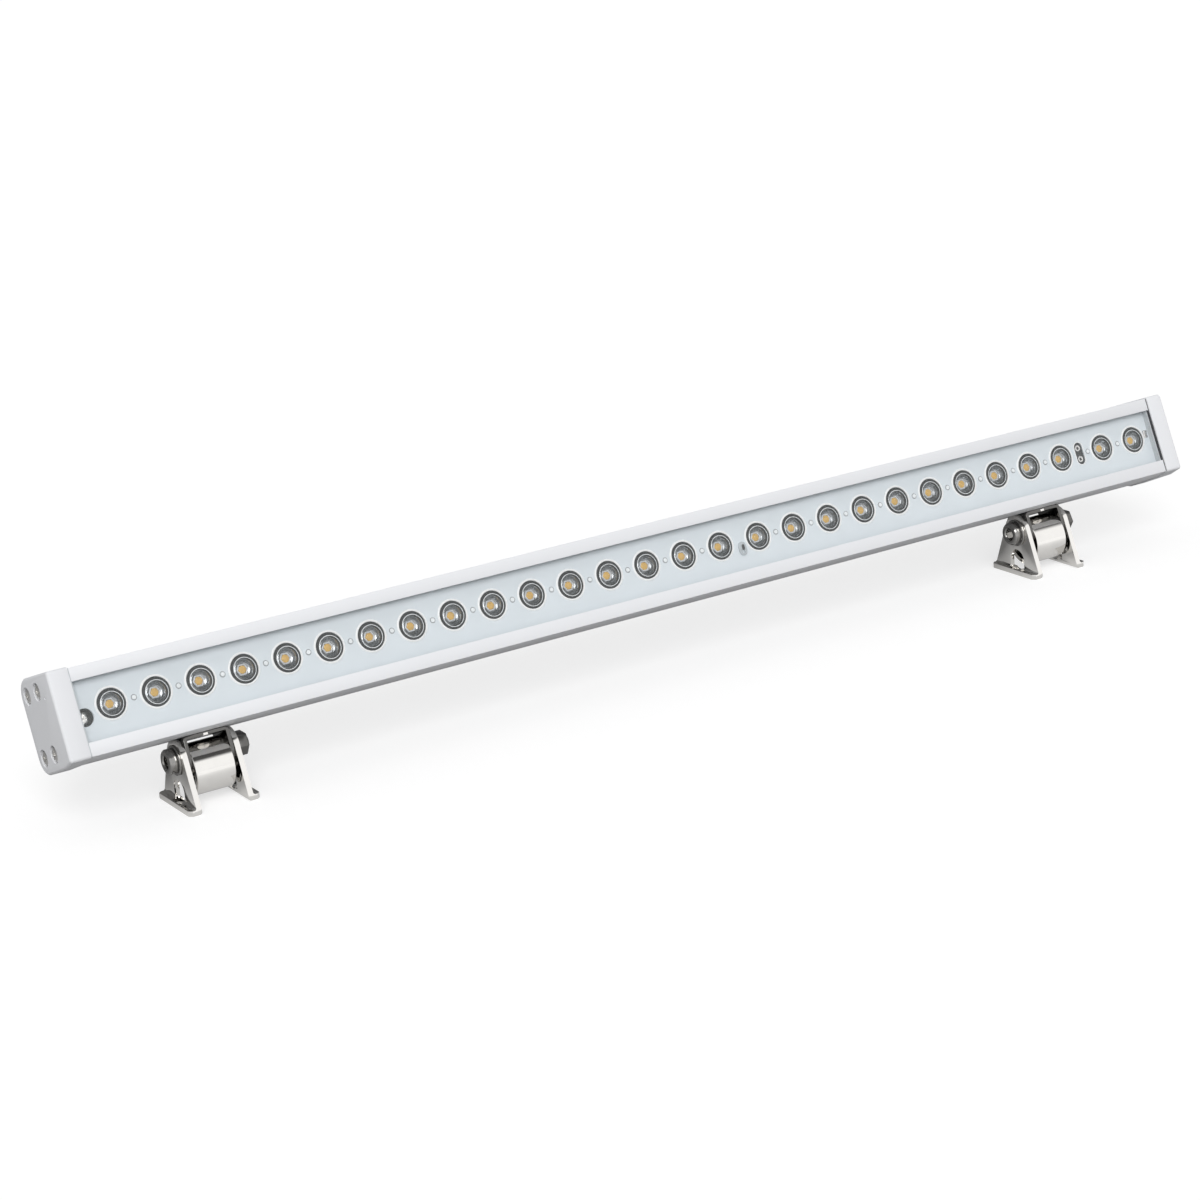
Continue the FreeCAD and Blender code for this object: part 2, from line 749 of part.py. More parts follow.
def build_vent():
    """A low breather cap on its stem in the rear wall."""
    body = new_body("Vent")
    stem = new_sketch(body, "XZ", "-Sizes.section_depth + 3.2")
    polygon(stem, "0", "0", "Sizes.vent_stem", 12)
    pad(body, stem, "3.2", backwards=True)
    skirt = new_sketch(body, "XZ", "-Sizes.section_depth")
    polygon(skirt, "0", "0", "Sizes.vent_radius", 16)
    pad(body, skirt, "2.6", backwards=True)
    crown = size("section_depth") + 2.6
    bevel_face(body, "0.8", YMin=crown, YMax=crown)
    place = FreeCAD.Placement(Vector(-size("gland_x"), 0, 0), FreeCAD.Rotation())
    finish(body, "pressure_vent", lamp_placement().multiply(place))


# ---------------------------------------------------------------- lamp side of the pivot

def saddle_place(side):
    """Round the bolt, but square to the tilted lamp."""
    return FreeCAD.Placement(Vector(size(side + "_bracket_x"), size("axis_y"), size("axis_height")),
                             FreeCAD.Rotation(X_AXIS, -size("tilt_angle")))


def build_saddle(side):
    """An upside-down U of bent plate: web under the housing, rounded ears down to the bolt."""
    body = new_body("Saddle")
    width = "2 * Sizes.saddle_half"
    top = "Sizes.pivot_drop - Sizes.pad_half"
    web = new_sketch(body, "YZ")
    box_outline(web, "-Sizes.saddle_radius", "0", "Sizes.saddle_radius", top)
    pad(body, web, width, both_ways=True)
    round_end = new_sketch(body, "YZ")
    polygon(round_end, "0", "0", "Sizes.saddle_radius", 28)
    pad(body, round_end, width, both_ways=True)
    gap = new_sketch(body, "XZ")
    inner = "(Sizes.saddle_half - Sizes.saddle_thickness)"
    box_outline(gap, "-" + inner, "-Sizes.saddle_radius - 1", inner, top + " - Sizes.saddle_thickness")
    cut(body, gap, "4 * Sizes.saddle_radius", both_ways=True)
    half = size("saddle_half")
    high = size("pivot_drop") - size("pad_half")
    bends = line_edges(body.Shape, X=half, Z=high) + line_edges(body.Shape, X=-half, Z=high)
    dress(body, "Fillet", bends, "Sizes.saddle_thickness + 0.6")
    bore = new_sketch(body, "YZ")
    disc(bore, "0", "0", "Sizes.bolt_radius + Sizes.running_gap")
    cut(body, bore, width, both_ways=True)
    holes = new_sketch(body, "XY", top)
    sinks = new_sketch(body, "XY", "%s - Sizes.saddle_thickness" % top)
    for way in ("-", ""):
        polygon(holes, "0", way + "Sizes.saddle_screw_y", "Sizes.saddle_screw + 0.2", 6)
        polygon(sinks, "0", way + "Sizes.saddle_screw_y", "Sizes.saddle_sink", 10)
    cut(body, holes, "Sizes.saddle_thickness")
    cut(body, sinks, "Sizes.saddle_sink_depth", backwards=True)
    finish(body, "saddle_" + side, saddle_place(side))


def build_saddle_screws(side):
    """Two low-head socket screws through the web into the housing's thick underside."""
    body = new_body("SaddleScrewTemplate")
    base = "Sizes.pivot_drop - Sizes.pad_half - Sizes.saddle_thickness"
    head = new_sketch(body, "XY", base)
    polygon(head, "0", "0", "Sizes.saddle_sink - 0.2", 10)
    pad(body, head, "Sizes.saddle_sink_depth")
    shank = new_sketch(body, "XY", base + " + Sizes.saddle_sink_depth")
    polygon(shank, "0", "0", "Sizes.saddle_screw", 6)
    pad(body, shank, "Sizes.saddle_screw_length")
    socket = new_sketch(body, "XY", base)
    polygon(socket, "0", "0", "1.7", 6)
    cut(body, socket, "1.2", backwards=True)
    across = size("saddle_screw_y")
    screws = [moved(body.Shape, 0, way * across, 0) for way in (-1, 1)]
    group("saddle_screws_" + side, screws, saddle_place(side))


def build_spacer_tube(side):
    """The loose polished tube that hangs on the bolt between the saddle's ears."""
    body = new_body("SpacerTube")
    ring = new_sketch(body, "YZ")
    polygon(ring, "0", "-Sizes.tube_drop", "Sizes.tube_outer", 40)
    polygon(ring, "0", "-Sizes.tube_drop", "Sizes.tube_inner", 40)
    pad(body, ring, "2 * (Sizes.saddle_half - Sizes.saddle_thickness)", both_ways=True)
    finish(body, "spacer_tube_" + side, bracket_placement(side))


# ---------------------------------------------------------------- tilting base of a bracket

def ear_outline(sketch):
    """Round top about the bolt, two legs tangent to it, and a straight foot."""
    radius, half = size("ear_radius"), size("foot_half")
    height, step = size("axis_height"), size("ear_thickness")
    reach = math.hypot(half, height - step)
    lean = math.atan2(-(height - step), half) + math.acos(radius / reach)
    tangent = Vector(radius * math.cos(lean), radius * math.sin(lean), 0)
    left_tangent = Vector(-tangent.x, tangent.y, 0)
    corner = Vector(half, -(height - step), 0)
    foot = Vector(half, -height, 0)
    left_corner, left_foot = Vector(-half, corner.y, 0), Vector(-half, foot.y, 0)
    circle = Part.Circle(Vector(0, 0, 0), Z_AXIS, radius)
    arc = sketch.addGeometry(Part.ArcOfCircle(circle, lean, math.pi - lean))
    run = [left_tangent, left_corner, left_foot, foot, corner, tangent]
    lines = [sketch.addGeometry(Part.LineSegment(a, b)) for a, b in zip(run, run[1:])]
    sketch.addConstraint(Sketcher.Constraint("Coincident", arc, 3, -1, 1))
    bind(sketch, Sketcher.Constraint("Radius", arc, radius), "Sizes.ear_radius")
    for before, after in zip(lines, lines[1:]):
        sketch.addConstraint(Sketcher.Constraint("Coincident", before, 2, after, 1))
    sketch.addConstraint(Sketcher.Constraint("Tangent", arc, 2, lines[0], 1))
    sketch.addConstraint(Sketcher.Constraint("Tangent", lines[4], 2, arc, 1))
    ends = [(lines[1], "-Sizes.foot_half", "-(Sizes.axis_height - Sizes.ear_thickness)", left_corner),
            (lines[2], "-Sizes.foot_half", "-Sizes.axis_height", left_foot),
            (lines[3], "Sizes.foot_half", "-Sizes.axis_height", foot),
            (lines[4], "Sizes.foot_half", "-(Sizes.axis_height - Sizes.ear_thickness)", corner)]
    for line, across, up, point in ends:
        bind(sketch, Sketcher.Constraint("DistanceX", -1, 1, line, 1, point.x), across)
        bind(sketch, Sketcher.Constraint("DistanceY", -1, 1, line, 1, point.y), up)


def build_foot(side, part, sign):
    """One bent-plate foot: a flared ear with an arched window and a flange turned outwards."""
    body = new_body("Foot")
    ear = new_sketch(body, "YZ", "%d * Sizes.ear_inner" % sign)
    ear_outline(ear)
    pad(body, ear, "Sizes.ear_thickness", backwards=sign < 0)
    flange = new_sketch(body, "XY", "-Sizes.axis_height")
    near, far = "%d * Sizes.ear_inner" % sign, "%d * Sizes.foot_edge" % sign
    box_outline(flange, near, "-Sizes.foot_half", far, "Sizes.foot_half")
    pad(body, flange, "Sizes.ear_thickness")
    edge, half = sign * size("foot_edge"), size("foot_half")
    face = sign * (size("ear_inner") + size("ear_thickness"))
    floor = -size("axis_height")
    corners = line_edges(body.Shape, X=edge, Y=half) + line_edges(body.Shape, X=edge, Y=-half)
    dress(body, "Chamfer", corners, "2.5")
    bend = line_edges(body.Shape, X=face, Z=floor + size("ear_thickness"))
    dress(body, "Chamfer", bend, "1")
    heel = line_edges(body.Shape, X=sign * size("ear_inner"), Z=floor)
    dress(body, "Fillet", heel, "2")
    window = new_sketch(body, "YZ", near)
    centre = "-(Sizes.ear_window_top + Sizes.ear_window_half)"
    box_outline(window, "-Sizes.ear_window_half", "-(Sizes.axis_height - Sizes.ear_thickness)",
                "Sizes.ear_window_half", centre)
    cut(body, window, "4 * Sizes.ear_thickness", both_ways=True)
    arch = new_sketch(body, "YZ", near)
    disc(arch, "0", centre + " + 0.01", "Sizes.ear_window_half - 0.01")
    cut(body, arch, "4 * Sizes.ear_thickness", both_ways=True)
    bore = new_sketch(body, "YZ", near)
    polygon(bore, "0", "0", "Sizes.bolt_radius + 0.4", 12)
    cut(body, bore, "4 * Sizes.ear_thickness", both_ways=True)
    fixing = new_sketch(body, "XY", "-Sizes.axis_height")
    disc(fixing, "%d * (Sizes.ear_inner + 5)" % sign, "0", "Sizes.foot_hole")
    cut(body, fixing, "2 * Sizes.ear_thickness", both_ways=True)
    finish(body, "%s_foot_%s" % (side, part), bracket_placement(side))


def build_pivot_bolt(side):
    """A low-head socket screw, head to the left, that clamps the tilt."""
    body = new_body("PivotBolt")
    seat = "(Sizes.ear_inner + Sizes.ear_thickness + Sizes.washer_thickness)"
    shank = new_sketch(body, "YZ", "-" + seat)
    disc(shank, "0", "0", "Sizes.bolt_radius")
    pad(body, shank, "2 * %s + Sizes.nut_height + 1.5" % seat)
    head = new_sketch(body, "YZ", "-" + seat)
    polygon(head, "0", "0", "Sizes.head_radius", 24)
    pad(body, head, "Sizes.head_height", backwards=True)
    outer = value("-%s - Sizes.head_height" % seat)
    bevel_face(body, "0.8", XMin=outer, XMax=outer)
    socket = new_sketch(body, "YZ", "-%s - Sizes.head_height" % seat)
    hexagon(socket, "Sizes.hex_across")
    cut(body, socket, "4", backwards=True)
    finish(body, side + "_pivot_bolt", bracket_placement(side))


def build_pivot_nut(side):
    """A hexagon nut with a bevelled face on the right-hand end."""
    body = new_body("PivotNut")
    start = "Sizes.ear_inner + Sizes.ear_thickness + Sizes.washer_thickness"
    base = new_sketch(body, "YZ", start)
    hexagon(base, "Sizes.nut_across")
    pad(body, base, "Sizes.nut_height")
    end = value(start + " + Sizes.nut_height")
    bevel_face(body, "0.8", XMin=end, XMax=end)
    bore = new_sketch(body, "YZ", start + " + Sizes.nut_height")
    polygon(bore, "0", "0", "Sizes.bolt_radius + 0.3", 12)
    cut(body, bore, "Sizes.nut_height")
    finish(body, side + "_pivot_nut", bracket_placement(side))


def build_washers(side):
    body = new_body("WasherTemplate")
    ring = new_sketch(body, "YZ", "Sizes.ear_inner + Sizes.ear_thickness")
    polygon(ring, "0", "0", "Sizes.washer_radius", 20)
    polygon(ring, "0", "0", "Sizes.bolt_radius + 0.4", 10)
    pad(body, ring, "Sizes.washer_thickness")
    other = body.Shape.mirror(Vector(0, 0, 0), X_AXIS)
    group(side + "_pivot_washers", [body.Shape.copy(), other], bracket_placement(side))


# ---------------------------------------------------------------- assembly

def check_and_write():
    """Stops on any failed feature or unsound solid, then writes every sub-part."""
    for item in document.Objects:
        if "Invalid" in item.State or "Error" in item.State:
            raise RuntimeError("%s failed: %s" % (item.Name, item.State))
    os.makedirs("parts", exist_ok=True)
    everything = FreeCAD.BoundBox()
    for item in finished:
        if item.Shape.isNull() or not item.Shape.isValid():
            raise RuntimeError("%s has no sound shape" % item.Label)
        item.Shape.exportStep(os.path.join("parts", item.Label + ".step"))
        everything.add(item.Shape.BoundBox)
    print("%d sub-parts, box %s" % (len(finished), everything))


build_housing()
cap_screw = pan_screw("CapScrewTemplate", 4.2, 2.6, 2.0, 20.0)
for side, sign in (("left", -1), ("right", 1)):
    build_end_cap(side, sign)
    build_end_gasket(side, sign)
    build_cap_screws(side, sign, cap_screw)
build_glass()
build_glass_seal("glass_seal_upper", "")
build_glass_seal("glass_seal_lower", "-")
build_panel()
build_pegs()
build_leads()
build_lead_bushes()
build_optics()
build_panel_fixings()
build_gear()
build_cable_entry()
build_vent()
for side in ("left", "right"):
    build_saddle(side)
    build_saddle_screws(side)
    build_spacer_tube(side)
    build_foot(side, "outer", -1 if side == "left" else 1)
    build_foot(side, "inner", 1 if side == "left" else -1)
    build_pivot_bolt(side)
    build_pivot_nut(side)
    build_washers(side)
document.recompute()
check_and_write()
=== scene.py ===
"""Looks of an outdoor linear wall washer: white coated lamp, polished steel brackets, lens row."""
import json
import math

import bmesh
import bpy
from mathutils import Matrix, Vector


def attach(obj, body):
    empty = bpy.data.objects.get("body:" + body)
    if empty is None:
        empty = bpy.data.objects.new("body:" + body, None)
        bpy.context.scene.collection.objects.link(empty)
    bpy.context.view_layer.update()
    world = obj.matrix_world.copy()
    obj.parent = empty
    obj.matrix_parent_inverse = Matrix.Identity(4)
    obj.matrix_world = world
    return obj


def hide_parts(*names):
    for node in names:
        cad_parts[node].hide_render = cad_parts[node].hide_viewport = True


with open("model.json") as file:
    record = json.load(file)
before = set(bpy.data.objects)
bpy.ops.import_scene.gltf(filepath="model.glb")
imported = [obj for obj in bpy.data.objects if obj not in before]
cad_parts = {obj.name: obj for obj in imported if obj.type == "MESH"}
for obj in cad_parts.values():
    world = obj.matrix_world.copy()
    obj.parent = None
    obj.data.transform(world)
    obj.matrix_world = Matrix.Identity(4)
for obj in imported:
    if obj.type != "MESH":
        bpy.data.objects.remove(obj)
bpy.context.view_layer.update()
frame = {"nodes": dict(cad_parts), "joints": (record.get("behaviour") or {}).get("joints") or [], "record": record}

bl_info = {
    "name": "Linear wall washer",
    "version": (1, 0, 0),
    "blender": (4, 5, 0),
    "location": "View3D > Sidebar > Wall washer",
    "description": "Builds the visible pieces of a linear wall washer round its packed frame",
    "category": "Object",
}

LAMP = "lamp"
SIDES = ("left", "right")
BRACKETS = {side: side + "_bracket" for side in SIDES}
MM = 0.001

# Where the lamp's own section stands in the row: the pivot joint and the cable entry give them.
PIVOT = Vector(frame["joints"][0]["pos_m"])
ENTRY = [mount for mount in frame["record"]["mounts"] if mount["name"] == "cable_entry"][0]
TILT = math.atan2(ENTRY["axis"][2], ENTRY["axis"][1])
PIVOT_DEPTH = 30.0 * MM
PIVOT_DROP = 47.5 * MM
TURN = Matrix.Rotation(TILT, 4, "X")

# The end caps: their faces along X, the rim's bevel, the screws as (depth, height) with their wells, the
# small dimple in front of them, and all screw heads as (radius, height).
CAP_FACE = 500.0 * MM
CAP_INNER = 484.5 * MM
CAP_BEVEL = 1.3 * MM
CAP_SCREWS = [(depth * MM, height * MM) for depth in (28.0, 50.0) for height in (-22.3, 22.3)]
WELL_RADIUS = 6.6 * MM
WELL_FLOOR = 496.8 * MM
DIMPLE = (15.0 * MM, 15.9 * MM)
DIMPLE_RADIUS = 1.1 * MM
DIMPLE_DEPTH = 3.5 * MM
CAP_HEAD = (5.4 * MM, 3.1 * MM)
PANEL_HEAD = (4.9 * MM, 2.8 * MM)

# The lens panel, its left screw as (X from the first lens, depth, height) with the notch round it, and
# how many lenses stand before each joint of the light boards.
PANEL_END = 482.5 * MM
PANEL_REACH = 23.8 * MM
PANEL_THICKNESS = 2.0 * MM
PANEL_SCREW = (-21.0 * MM, 15.4 * MM, -4.0 * MM)
NOTCH_SHIFT = 3.8 * MM
NOTCH_RADIUS = 6.5 * MM
FIRST_JOINT = 16
SECOND_JOINT = 26
PEG_SHIFT = 6.6 * MM

# The lead slot in the second joint, the clip in the first, and the beads at the panel's ends.
SLOT_SHIFT = -2.0 * MM
SLOT_HALF_WIDTH = 4.2 * MM
SLOT_HALF_HEIGHT = 9.2 * MM
SLOT_RIM = 0.8 * MM
# How far the black plate of painted shade in the lead slot stands in from the slot's edge.
SLOT_SHADE_PLAY = 0.05 * MM
BUSH_SHIFT = 4.6 * MM
CLIP_SHIFT = 1.5 * MM
CLIP_DROP = 5.2 * MM
CLIP_HALF_WIDTH = 1.3 * MM
CLIP_HALF_HEIGHT = 2.2 * MM
BEAD_MIDDLE = 483.05 * MM
BEAD_DEPTH = 5.8 * MM
BEAD_SIZE = (0.7 * MM, 7.2 * MM, 51.0 * MM)

# Turned forms as (radius, depth) in millimetres; those from a lens hole are counted from its edge.
HOLE_RIM = [(-0.35, 0.9), (-0.35, -0.2), (-0.1, -0.5), (0.5, -0.55), (1.0, -0.3), (1.25, 0.1)]
HOLE_SLEEVE = [(-0.3, 0.8), (-0.4, 0.3), (-0.7, 0.15), (-3.0, 0.25), (-3.2, 0.6), (-3.2, 4.6), (-0.3, 4.6),
               (-0.3, 0.8)]
LENS_FLANGE = [(8.65, 0.3), (8.6, 0.0), (8.2, 0.0), (7.95, 0.9)]
LENS_CUP = [(8.1, 0.3), (7.7, 1.5), (7.35, 1.4), (6.7, 2.7), (6.35, 2.55), (5.7, 3.8), (5.0, 4.3), (0, 4.5)]
CHIP_FRAME = [(4.7, 4.4), (4.5, 3.5), (4.0, 3.3), (3.5, 3.5), (3.2, 4.3)]
CHIP_FACE = [(3.1, 4.3), (3.0, 3.8), (2.6, 3.6), (0, 3.5)]
CHIP_DOME = [(3.3, 4.0), (3.1, 3.2), (2.5, 2.5), (1.4, 2.0), (0, 1.8)]
PEG = [(1.75, 0.2), (1.7, -0.4), (1.3, -0.8), (0.7, -0.75), (0, -0.65)]
# The ring below is painted shade: a dark grey ring round each peg that makes it stand out.
PEG_SHADE_RING = [(1.6, 0.1), (1.6, -0.06), (2.15, -0.06), (2.2, 0.1)]
LEAD_BUSH = [(0.8, 2.4), (0.8, 1.2), (1.4, 0.6), (2.4, 0.6), (3.1, 1.4), (3.15, 4.0)]
# The next ring is painted shade: a black ring on the floor of each cap screw well, where shade falls round the
# head.
CAP_WELL_SHADE = [(4.6, 0), (4.6, -0.9), (6.5, -0.9), (6.5, 0)]
PANEL_SEAL = [(4.0, 0.5), (4.0, -0.2), (8.5, -0.2), (8.5, 0.5)]

# Turned forms about the pivot as (radius, x) in millimetres.
TUBE_DROP = 9.7 * MM
TUBE = [(15, -15), (18.1, -15), (18.6, -14.5), (18.6, 14.5), (18.1, 15), (15, 15), (15, -15)]
BOLT = [(4.55, -28.9), (4.9, -29.5), (5.4, -29.9), (7.2, -30.0), (8.4, -29.5), (9.2, -28.4), (9.3, -24.4),
        (8.9, -23.6), (5.0, -23.6), (5.0, 32.4), (4.3, 33.1), (0, 33.1)]
BOLT_SOCKET = [(4.62, -28.9), (4.62, -26.0), (0, -26.0)]
WASHER = [(5.4, 22), (10.5, 22), (11, 22.4), (11, 23.2), (10.5, 23.6), (5.4, 23.6), (5.4, 22)]


def lamp_point(x, depth, height):
    """A point given in the lamp's section (depth behind its front, height from its middle)."""
    offset = TURN @ Vector((0, depth - PIVOT_DEPTH, height + PIVOT_DROP))
    return Vector((x, PIVOT.y, PIVOT.z)) + offset


# ---------------------------------------------------------------- settings

class OpticsSettings(bpy.types.PropertyGroup):
    """Sizes of the light row."""
    count: bpy.props.IntProperty(name="Light sources", description="How many lenses the row holds",
                                 default=28, min=1)
    first: bpy.props.FloatProperty(name="First source", description="X of the first lens",
                                   default=-457.7 * MM, unit="LENGTH")
    pitch: bpy.props.FloatProperty(name="Pitch", description="Distance between two lenses",
                                   default=33.75 * MM, unit="LENGTH")
    gap_a: bpy.props.FloatProperty(name="First joint", description="Extra gap after the 16th lens",
                                   default=1.5 * MM, unit="LENGTH")
    gap_b: bpy.props.FloatProperty(name="Second joint", description="Extra gap after the 26th lens",
                                   default=10.0 * MM, unit="LENGTH")
    row_height: bpy.props.FloatProperty(name="Row height", description="Lens row above mid height",
                                        default=1.2 * MM, unit="LENGTH")
    hole: bpy.props.FloatProperty(name="Hole radius", description="Radius of a lens hole",
                                  default=11.0 * MM, unit="LENGTH")
    aside: bpy.props.FloatProperty(name="Lens offset", description="Lens axis beside its hole's centre",
                                   default=0.5 * MM, unit="LENGTH")
    panel_front: bpy.props.FloatProperty(name="Panel depth", description="Panel face behind the front",
                                         default=7.4 * MM, unit="LENGTH")


class ShellSettings(bpy.types.PropertyGroup):
    """Edge rounding of the shells."""
    housing_edge: bpy.props.FloatProperty(name="Housing edge", description="Edge radius of the extrusion",
                                          default=0.5 * MM, unit="LENGTH")
    cap_edge: bpy.props.FloatProperty(name="Cap edge", description="Edge radius of the end caps",
                                      default=0.35 * MM, unit="LENGTH")
    plate_edge: bpy.props.FloatProperty(name="Plate edge", description="Edge radius of bent plate",
                                        default=0.55 * MM, unit="LENGTH")
    bolt_edge: bpy.props.FloatProperty(name="Bolt edge", description="Edge radius of bolts and nuts",
                                       default=0.25 * MM, unit="LENGTH")


class FinishSettings(bpy.types.PropertyGroup):
    """Colours of the main finishes."""
    coat: bpy.props.FloatVectorProperty(name="Powder coat", description="White of the lamp's shell",
                                        subtype="COLOR", default=(0.84, 0.85, 0.875))
    panel: bpy.props.FloatVectorProperty(name="Lens panel", description="Cool white of the panel",
                                         subtype="COLOR", default=(0.72, 0.775, 0.815))
    steel: bpy.props.FloatVectorProperty(name="Polished steel", description="Tint of the brackets",
                                         subtype="COLOR", default=(0.80, 0.785, 0.76))
    amber: bpy.props.FloatVectorProperty(name="Phosphor", description="Amber of the light sources",
                                         subtype="COLOR", default=(0.74, 0.43, 0.055))


# ---------------------------------------------------------------- node materials

def new_material(name):
    """A node material with one principled shader; returns it, its tree and the shader."""
    material = bpy.data.materials.new(name)
    material.use_nodes = True
    shader = material.node_tree.nodes["Principled BSDF"]
    return material, material.node_tree, shader


def object_noise(tree, scale, detail=3.0, stretch=(1, 1, 1)):
    """Noise that is fixed to the piece, optionally drawn out along an axis."""
    place = tree.nodes.new("ShaderNodeTexCoord")
    mapping = tree.nodes.new("ShaderNodeMapping")
    mapping.inputs["Scale"].default_value = stretch
    noise = tree.nodes.new("ShaderNodeTexNoise")
    noise.inputs["Scale"].default_value = scale
    noise.inputs["Detail"].default_value = detail
    tree.links.new(place.outputs["Object"], mapping.inputs["Vector"])
    tree.links.new(mapping.outputs["Vector"], noise.inputs["Vector"])
    return noise.outputs["Fac"]


def mapped(tree, source, given, wanted, interpolation="LINEAR"):
    """Maps one range of numbers to another and holds it at both ends."""
    node = tree.nodes.new("ShaderNodeMapRange")
    node.interpolation_type = interpolation
    for name, number in zip(("From Min", "From Max", "To Min", "To Max"), (*given, *wanted)):
        node.inputs[name].default_value = number
    tree.links.new(source, node.inputs["Value"])
    return node.outputs["Result"]


def spread(tree, source, low, high):
    """Maps noise to a narrow range."""
    return mapped(tree, source, (0.3, 0.7), (low, high))


def tint(tree, shader, source, dark, light):
    """Lets noise choose between two near colours."""
    mix = tree.nodes.new("ShaderNodeMix")
    mix.data_type = "RGBA"
    mix.inputs["A"].default_value = (*dark, 1)
    mix.inputs["B"].default_value = (*light, 1)
    tree.links.new(source, mix.inputs["Factor"])
    tree.links.new(mix.outputs["Result"], shader.inputs["Base Color"])


def bump(tree, shader, source, strength, distance):
    """Gives the surface a fine relief."""
    node = tree.nodes.new("ShaderNodeBump")
    node.inputs["Strength"].default_value = strength
    node.inputs["Distance"].default_value = distance
    tree.links.new(source, node.inputs["Height"])
    tree.links.new(node.outputs["Normal"], shader.inputs["Normal"])


def shade(colour, factor):
    """A colour made darker or lighter."""
    return tuple(min(1.0, part * factor) for part in colour)


def powder_coat(name, colour, roughness=0.45):
    """Satin powder coat with its fine orange-peel skin."""
    material, tree, shader = new_material(name)
    tint(tree, shader, object_noise(tree, 30.0), shade(colour, 0.985), shade(colour, 1.01))
    tree.links.new(spread(tree, object_noise(tree, 120.0), roughness - 0.05, roughness + 0.05),
                   shader.inputs["Roughness"])
    bump(tree, shader, object_noise(tree, 700.0, 2.0), 0.25, 0.00004)
    return material


def polished_metal(name, colour, roughness=0.1, grain=(1, 1, 12)):
    """Mirror-polished plate with faint buffing lines and handling marks."""
    material, tree, shader = new_material(name)
    shader.inputs["Metallic"].default_value = 1.0
    tint(tree, shader, object_noise(tree, 90.0, 5.0), shade(colour, 0.93), shade(colour, 1.04))
    tree.links.new(spread(tree, object_noise(tree, 260.0, 6.0, grain), roughness * 0.6, roughness * 1.5),
                   shader.inputs["Roughness"])
    bump(tree, shader, object_noise(tree, 500.0, 4.0, grain), 0.05, 0.00002)
    return material


def smooth_metal(name, colour, roughness):
    """Vacuum-metallised plastic without any grain."""
    material, tree, shader = new_material(name)
    shader.inputs["Metallic"].default_value = 1.0
    tint(tree, shader, object_noise(tree, 60.0), shade(colour, 0.9), shade(colour, 1.1))
    shader.inputs["Roughness"].default_value = roughness
    return material


def moulded(name, colour, roughness=0.4, speckle=400.0, depth=0.00002):
    """Moulded plastic or silicone with a slight skin."""
    material, tree, shader = new_material(name)
    tint(tree, shader, object_noise(tree, 40.0), shade(colour, 0.95), shade(colour, 1.04))
    tree.links.new(spread(tree, object_noise(tree, 150.0), roughness - 0.06, roughness + 0.06),
                   shader.inputs["Roughness"])
    bump(tree, shader, object_noise(tree, speckle), 0.2, depth)
    return material


def clear_pane(name):
    """Clear tempered glass, seen mostly by its reflections."""
    material, tree, shader = new_material(name)
    shader.inputs["Base Color"].default_value = (0.9, 0.95, 0.95, 1)
    shader.inputs["Alpha"].default_value = 0.05
    shader.inputs["IOR"].default_value = 1.5
    tree.links.new(spread(tree, object_noise(tree, 15.0), 0.02, 0.05), shader.inputs["Roughness"])
    return material


def phosphor(name, colour):
    """Granular amber phosphor under clear silicone."""
    material, tree, shader = new_material(name)
    place = tree.nodes.new("ShaderNodeTexCoord")
    cells = tree.nodes.new("ShaderNodeTexVoronoi")
    cells.inputs["Scale"].default_value = 900.0
    tree.links.new(place.outputs["Object"], cells.inputs["Vector"])
    tint(tree, shader, cells.outputs["Distance"], shade(colour, 1.12), shade(colour, 0.78))
    shader.inputs["Roughness"].default_value = 0.35
    bump(tree, shader, cells.outputs["Distance"], 0.3, 0.0001)
    return material


# ---------------------------------------------------------------- mesh helpers

def placed(name, data):
    """A new object that holds some data, linked into the scene."""
    item = bpy.data.objects.new(name, data)
    bpy.context.collection.objects.link(item)
    return item


def adopt(mesh, name, body, nodes=(), smooth_angle=30):
    """Turns a finished mesh into a piece of a body, standing for the given nodes."""
    piece = placed(name, mesh)
    mesh.set_sharp_from_angle(angle=math.radians(smooth_angle))
    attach(piece, body)
    if nodes:
        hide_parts(*nodes)


def give(node, material):
    """Puts a finish on a CAD node that keeps its own form."""
    target = frame["nodes"][node]
    for slot in target.material_slots:
        slot.material = material
    if not target.material_slots:
        target.data.materials.append(material)


def evaluated_mesh(holder):
    """The plain mesh that an object's modifiers give; the object itself is taken away."""
    graph = bpy.context.evaluated_depsgraph_get()
    mesh = bpy.data.meshes.new_from_object(holder.evaluated_get(graph), depsgraph=graph)
    bpy.data.objects.remove(holder)
    return mesh


def merged_copy(node):
    """A copy of a CAD node's mesh with its corners joined and its flat areas made whole."""
    work = bmesh.new()
    work.from_mesh(frame["nodes"][node].data)
    bmesh.ops.remove_doubles(work, verts=work.verts, dist=0.002 * MM)
    bmesh.ops.dissolve_limit(work, angle_limit=math.radians(0.6), verts=work.verts, edges=work.edges)
    return work


def dressed(node, name, body, material, edge, segments=3):
    """The node's own form with rounded edges and a finish."""
    work = merged_copy(node)
    mesh = bpy.data.meshes.new(name)
    work.to_mesh(mesh)
    work.free()
    holder = placed(name + "_work", mesh)
    rounding = holder.modifiers.new("edges", "BEVEL")
    rounding.width = edge
    rounding.segments = segments
    rounding.limit_method = "ANGLE"
    rounding.angle_limit = math.radians(32)
    mesh = evaluated_mesh(holder)
    mesh.name = name
    mesh.materials.clear()
    mesh.materials.append(material)
    mesh.polygons.foreach_set("use_smooth", [True] * len(mesh.polygons))
    adopt(mesh, name, body, (node,), 40)


